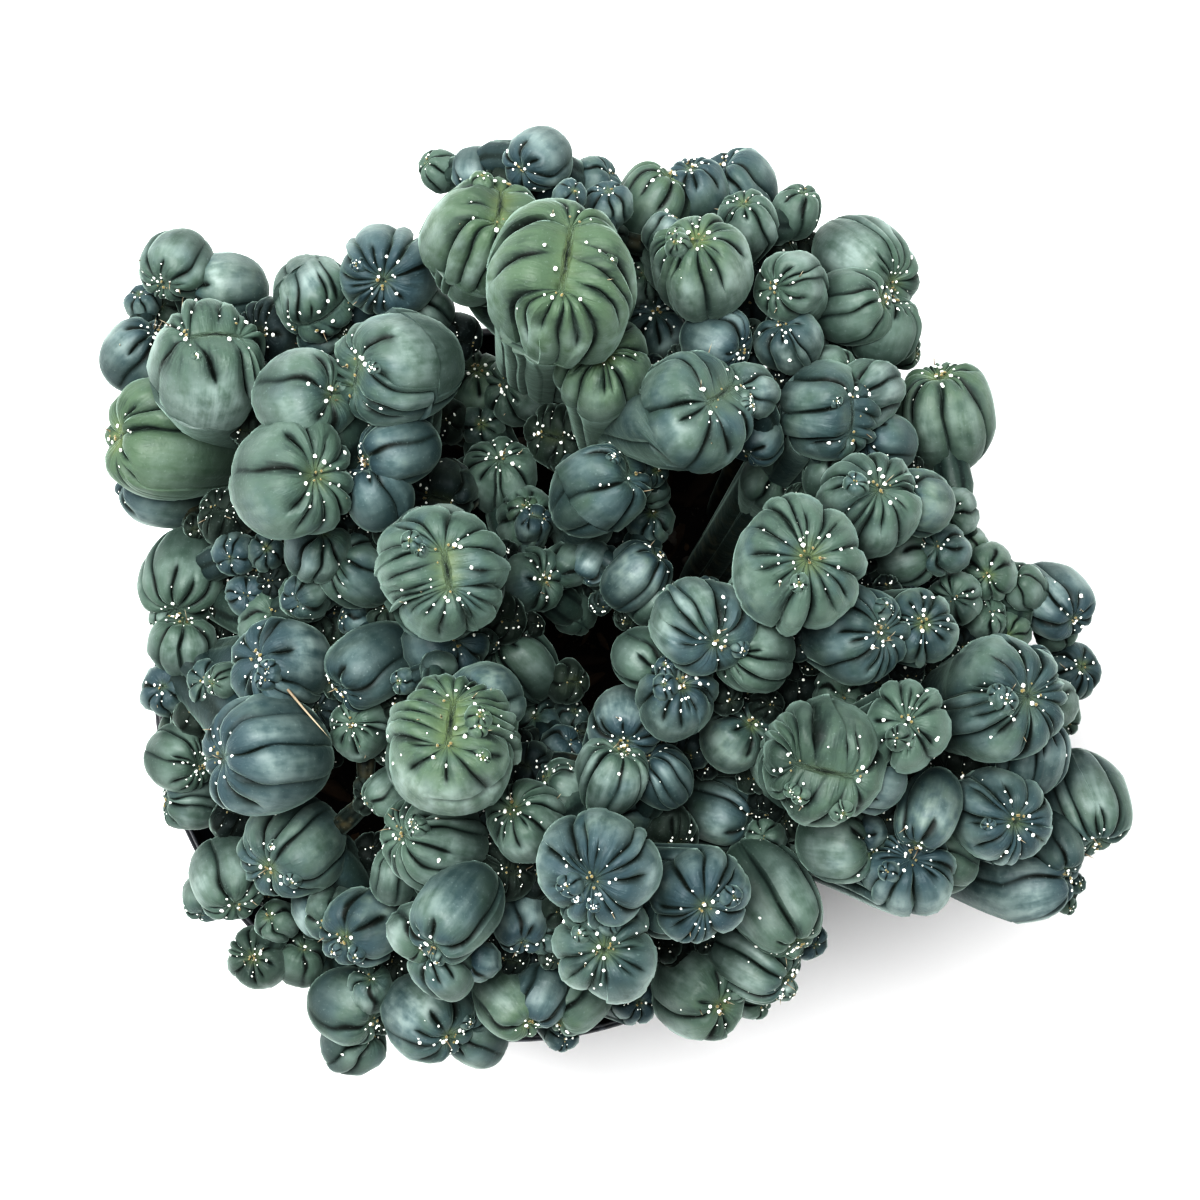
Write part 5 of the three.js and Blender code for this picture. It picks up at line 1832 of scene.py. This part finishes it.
@dataclass
class Pot:
    """A thin round nursery pot with a rolled rim band and drain holes, in millimetres."""

    rim_radius: float = 107.5
    base_radius: float = 76.0
    height: float = 170.0
    wall: float = 2.0
    rim_drop: float = 13.0
    rim_lip: float = 3.5
    rim_roll: float = 1.4
    sides: int = 120
    sharp_angle: float = 38.0
    drain_holes: int = 8
    drain_radius: float = 5.0
    drain_circle: float = 60.0
    drain_sides: int = 24
    floor_ring: float = 48.0

    def inner(self, height: float) -> float:
        """Return the inner radius at a height."""
        flare = self.rim_radius - self.rim_lip - self.base_radius
        return self.base_radius - self.wall + flare * height / (self.height - self.rim_drop)

    def profile(self) -> np.ndarray:
        """Draw the wall's outline, from under the floor round to inside it.

        Returns:
            Its points, as radius and height.
        """
        shoulder, rim, roll, top = self.height - self.rim_drop, self.rim_radius, self.rim_roll, self.height
        wall_top, rim_inside = rim - self.rim_lip, rim - self.wall - 0.5
        outer = [(self.base_radius + (wall_top - self.base_radius) * t, 1.5 + (shoulder - 3.0) * t)
                 for t in np.linspace(0, 1, 9)]
        rolled = [(rim - roll + roll * math.sin(a), top - roll + roll * math.cos(a))
                  for a in np.linspace(math.pi / 2, -math.pi / 2 * 0.4, 6)]
        inside = [(self.inner(z), z) for z in np.linspace(shoulder - 1, self.wall + 1.5, 9)]
        return np.array([
            (self.floor_ring, 0), (self.base_radius - 3, 0), (self.base_radius - 0.8, 0.4), *outer,
            (rim - 1.6, shoulder - 0.4), (rim - 0.4, shoulder), (rim, shoulder + 0.8), (rim, top - 4),
            *rolled, (rim_inside + 0.2, top - 1.2), (rim_inside, top - 4), (rim_inside, shoulder + self.wall),
            *inside, (self.inner(self.wall) - 1.5, self.wall), (self.floor_ring, self.wall)])

    def build(self) -> list[bpy.types.Object]:
        """Build the pot and stand it in for its solid.

        Returns:
            The pot.
        """
        outline = self.profile()
        heading, across, over = circle(self.sides)
        wave = 1 + 0.0016 * np.sin(2 * heading + 0.7) + 0.0009 * np.sin(5 * heading)
        rings = np.stack([outline[:, :1] * across * wave, outline[:, :1] * over * wave,
                          np.broadcast_to(outline[:, 1:], (len(outline), self.sides))], -1)
        points = np.concatenate([rings.reshape(-1, 3), [[0, 0, 0]], [[0, 0, self.wall]]])
        z = points[:, 2]
        # The rim's top and the foot of its band, rubbed and given a painted highlight.
        rubbed_and_lit = np.maximum(smooth(self.height - 5, self.height - 1, z),
                             0.8 * np.exp(-((z - self.height + self.rim_drop) / 1.5) ** 2))
        low = 1 - smooth(10, 70, z)
        mesh = Mesh()
        mesh.add(points, grid_faces(len(outline), self.sides)[:, ::-1],
                 marks=np.stack([rubbed_and_lit, low, low * 0, low * 0], -1))
        pot = mesh.build("nursery_pot", PotFinish().make(), self.sharp_angle)
        self.drain(pot)
        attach(pot, BODY)
        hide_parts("pot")
        return [pot]

    def drain(self, pot: bpy.types.Object) -> None:
        """Cut the drain holes through the floor.

        Args:
            pot: The pot.
        """
        cutters = Mesh()
        _, across, over = circle(self.drain_sides)
        low, high = np.array([0, 0, -self.wall]), np.array([0, 0, 2 * self.wall])
        for i in range(self.drain_holes):
            angle = TURN * i / self.drain_holes
            middle = np.array([math.cos(angle), math.sin(angle), 0]) * self.drain_circle
            ring = np.stack([across, over, across * 0], -1) * self.drain_radius + middle
            points = np.concatenate([ring + high, ring + low, [middle + high], [middle + low]])
            cutters.add(points, grid_faces(2, self.drain_sides))
        cutter = cutters.build("drain_cutter", pot.data.materials[0])
        cut = pot.modifiers.new("drain", "BOOLEAN")
        cut.operation, cut.solver, cut.object = "DIFFERENCE", "EXACT", cutter
        bpy.context.view_layer.update()
        shaped = bpy.data.meshes.new_from_object(pot.evaluated_get(bpy.context.evaluated_depsgraph_get()))
        pot.modifiers.clear()
        pot.data = shaped
        bpy.data.objects.remove(cutter)


@dataclass
class Soil:
    """The potting mix, uneven on top, with bark chips and grit lying on it, in millimetres."""

    top: float = PLAN.soil_z
    floor: float = 2.4
    gap: float = 0.5
    rings: int = 46
    sides: int = 168
    sharp_angle: float = 60.0
    chips: int = 620
    chip_sharp_angle: float = 50.0
    fine_chip: float = 1.9

    def ground(self, x: Any, y: Any) -> Any:
        """Find the height of the soil's top.

        Args:
            x: Across the pot.
            y: Along the pot.

        Returns:
            The height there.
        """
        roll = 1.5 * np.sin(x * 0.081 + 1.1) * np.cos(y * 0.067 - 0.4)
        lumps = 0.9 * np.sin(x * 0.31 + y * 0.17) * np.sin(y * 0.27 - x * 0.11 + 2)
        crumbs = 0.45 * np.sin(x * 1.13 + 2 * np.sin(y * 0.7)) * np.sin(y * 1.21 + 2 * np.sin(x * 0.6))
        return self.top - 1.2 + roll + lumps + crumbs

    def build(self, pot: Pot) -> list[bpy.types.Object]:
        """Build the soil and its litter, and stand the soil in for its solid.

        Args:
            pot: The pot that it fills.

        Returns:
            The soil and its litter.
        """
        _, across, over = circle(self.sides)
        shares = np.linspace(0.02, 1, self.rings)[:, None]
        reach = pot.inner(self.top) - self.gap
        x, y = shares * reach * across, shares * reach * over
        edge = smooth(0.93, 1.0, shares)
        top = np.stack([x, y, self.ground(x, y) * (1 - edge) + edge * (self.top - 0.6)], -1)
        lower = [np.stack([across * size, over * size, across * 0 + z], -1)
                 for z in np.linspace(self.top - 6, self.floor, 6) for size in [pot.inner(z) - self.gap]]
        rings = np.concatenate([top, lower])
        tips = [[0, 0, float(self.ground(0.0, 0.0))], [0, 0, self.floor]]
        mesh = Mesh()
        mesh.add(np.concatenate([rings.reshape(-1, 3), tips]), grid_faces(len(rings), self.sides))
        soil = mesh.build("potting_mix", SoilFinish().make(), self.sharp_angle)
        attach(soil, BODY)
        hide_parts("soil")
        return [soil, self.litter(reach)]

    def litter(self, reach: float) -> bpy.types.Object:
        """Scatter chips, scraps and grit over the soil.

        Args:
            reach: The soil's radius, in millimetres.

        Returns:
            The litter.
        """
        mesh, fine, plain = Mesh(), ball(2), ball(1)
        for i in range(self.chips):
            angle, way, shape, bulk, tip_x, tip_y, spin, dry = (noise(i, throw) for throw in range(51, 59))
            out, size = (reach - 4) * math.sqrt(way), 0.8 + 2.4 * bulk ** 2
            x, y = out * math.cos(TURN * angle), out * math.sin(TURN * angle)
            stretch = np.array([2.0 + shape, 0.8, 0.5]) if shape > 0.55 else np.array([1.2, 1.0, 0.7])
            base, faces = fine if size > self.fine_chip else plain
            ragged = 1 + 0.25 * np.sin(base @ np.array([5.1, 3.3, 4.7]) + i) * np.cos(base @ [2.9, 6.1, 3.7])
            turn, _ = turning(np.array([0, 0, 1.0]), unit(np.array([tip_x - 0.5, tip_y - 0.5, 1.6])))
            cosine, sine = math.cos(TURN * spin), math.sin(TURN * spin)
            swing = np.array([[cosine, -sine, 0], [sine, cosine, 0], [0, 0, 1]])
            place = np.array([x, y, float(self.ground(x, y)) + 0.15 * size])
            stony = 1.0 if shape < 0.16 else 0.0
            mesh.add(base * ragged[:, None] * stretch * size @ (turn @ swing).T + place, faces,
                     marks=[dry ** 2 * (1 - stony), stony, 0, 0])
        piece = mesh.build("bark_chips", LitterFinish().make(), self.chip_sharp_angle)
        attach(piece, BODY)
        return piece


@dataclass
class Studio:
    """Plain pale floor, soft light and the camera straight above, in millimetres and watts."""

    floor_half: float = 900.0
    floor_points: int = 24
    floor_drop: float = 0.6
    floor_fall: float = 0.00002
    view_half: float = 180.0
    key_place: tuple[float, float, float] = (-170, 230, 1750)
    key_size: float = 820.0
    key_power: float = 42.0
    fill_place: tuple[float, float, float] = (-700, 600, 1300)
    fill_size: float = 420.0
    fill_power: float = 4.2
    aim_z: float = 200.0
    sky: float = 1.8
    zenith: float = 0.05
    zenith_reach: float = 0.62

    def build(self) -> None:
        """Build the floor, the lights, the sky and the camera."""
        count = self.floor_points
        line = np.linspace(-self.floor_half, self.floor_half, count)
        x, y = np.meshgrid(line, line)
        z = -self.floor_drop - self.floor_fall * (x * x + y * y)
        a = (np.arange(count - 1)[:, None] * count + np.arange(count - 1)).ravel()
        mesh = Mesh()
        mesh.add(np.stack([x, y, z], -1).reshape(-1, 3), np.concatenate([
            np.stack([a, a + 1, a + count], -1), np.stack([a + 1, a + count + 1, a + count], -1)]))
        mesh.build("studio_floor", FloorFinish().make())
        self.light("softbox", self.key_place, self.key_size, self.key_power)
        self.light("window", self.fill_place, self.fill_size, self.fill_power)
        self.dome()
        self.camera()

    def light(self, name: str, place: tuple[float, float, float], size: float, power: float) -> None:
        """Hang a soft square light that faces the clump.

        Args:
            name: Its name.
            place: Where it hangs.
            size: Its side.
            power: Its power.
        """
        lamp = bpy.data.lights.new(name, "AREA")
        lamp.shape, lamp.size, lamp.energy = "SQUARE", size * MM, power
        hung = bpy.data.objects.new(name, lamp)
        hung.location = [part * MM for part in place]
        aim = MathVector((0.0, 0.0, self.aim_z * MM)) - hung.location
        hung.rotation_euler = aim.to_track_quat("-Z", "Y").to_euler()
        bpy.context.scene.collection.objects.link(hung)

    def dome(self) -> None:
        """Light the sky from its edge, with little from straight above."""
        board = Board(bpy.data.worlds.new("sky"))
        up = board.node("SeparateXYZ", None, {0: board.node("TexCoord", out="Generated")}, "Z")
        fall = board.node("MapRange", None, {"Value": up, "From Max": self.zenith_reach, "To Min": self.sky,
                                             "To Max": self.zenith})
        glow = board.node("Background", None, {"Color": (1, 1, 1), "Strength": fall})
        board.node("OutputWorld", None, {"Surface": glow})
        bpy.context.scene.world = board.owner

    def camera(self) -> None:
        """Set the camera straight above the eye's place, and the picture's contrast."""
        lens = bpy.data.cameras.new("overhead")
        lens.sensor_fit = "HORIZONTAL"
        lens.angle = 2 * math.atan(self.view_half / PLAN.eye_above_rim)
        lens.clip_start, lens.clip_end = 0.05, 10
        eye = bpy.data.objects.new("overhead", lens)
        eye.location = (PLAN.middle[0] * MM, PLAN.middle[1] * MM, (PLAN.rim_z + PLAN.eye_above_rim) * MM)
        scene = bpy.context.scene
        scene.collection.objects.link(eye)
        scene.camera = eye
        scene.view_settings.view_transform = "Standard"
        scene.view_settings.look = "Very High Contrast"


def triangles(piece: bpy.types.Object) -> int:
    """Return how many triangles a piece has."""
    return sum(len(face.vertices) - 2 for face in piece.data.polygons)


def main() -> None:
    """Dress the frame."""
    logging.basicConfig(level=logging.INFO, format="%(message)s", stream=sys.stdout)
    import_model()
    pot = Pot()
    pieces = pot.build() + Soil().build(pot) + Cactus().build()
    for piece in pieces:
        LOG.info("%s: %d triangles", piece.name, triangles(piece))
    LOG.info("whole: %d triangles", sum(map(triangles, pieces)))
    Studio().build()
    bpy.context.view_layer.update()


if __name__ == "__main__":
    main()
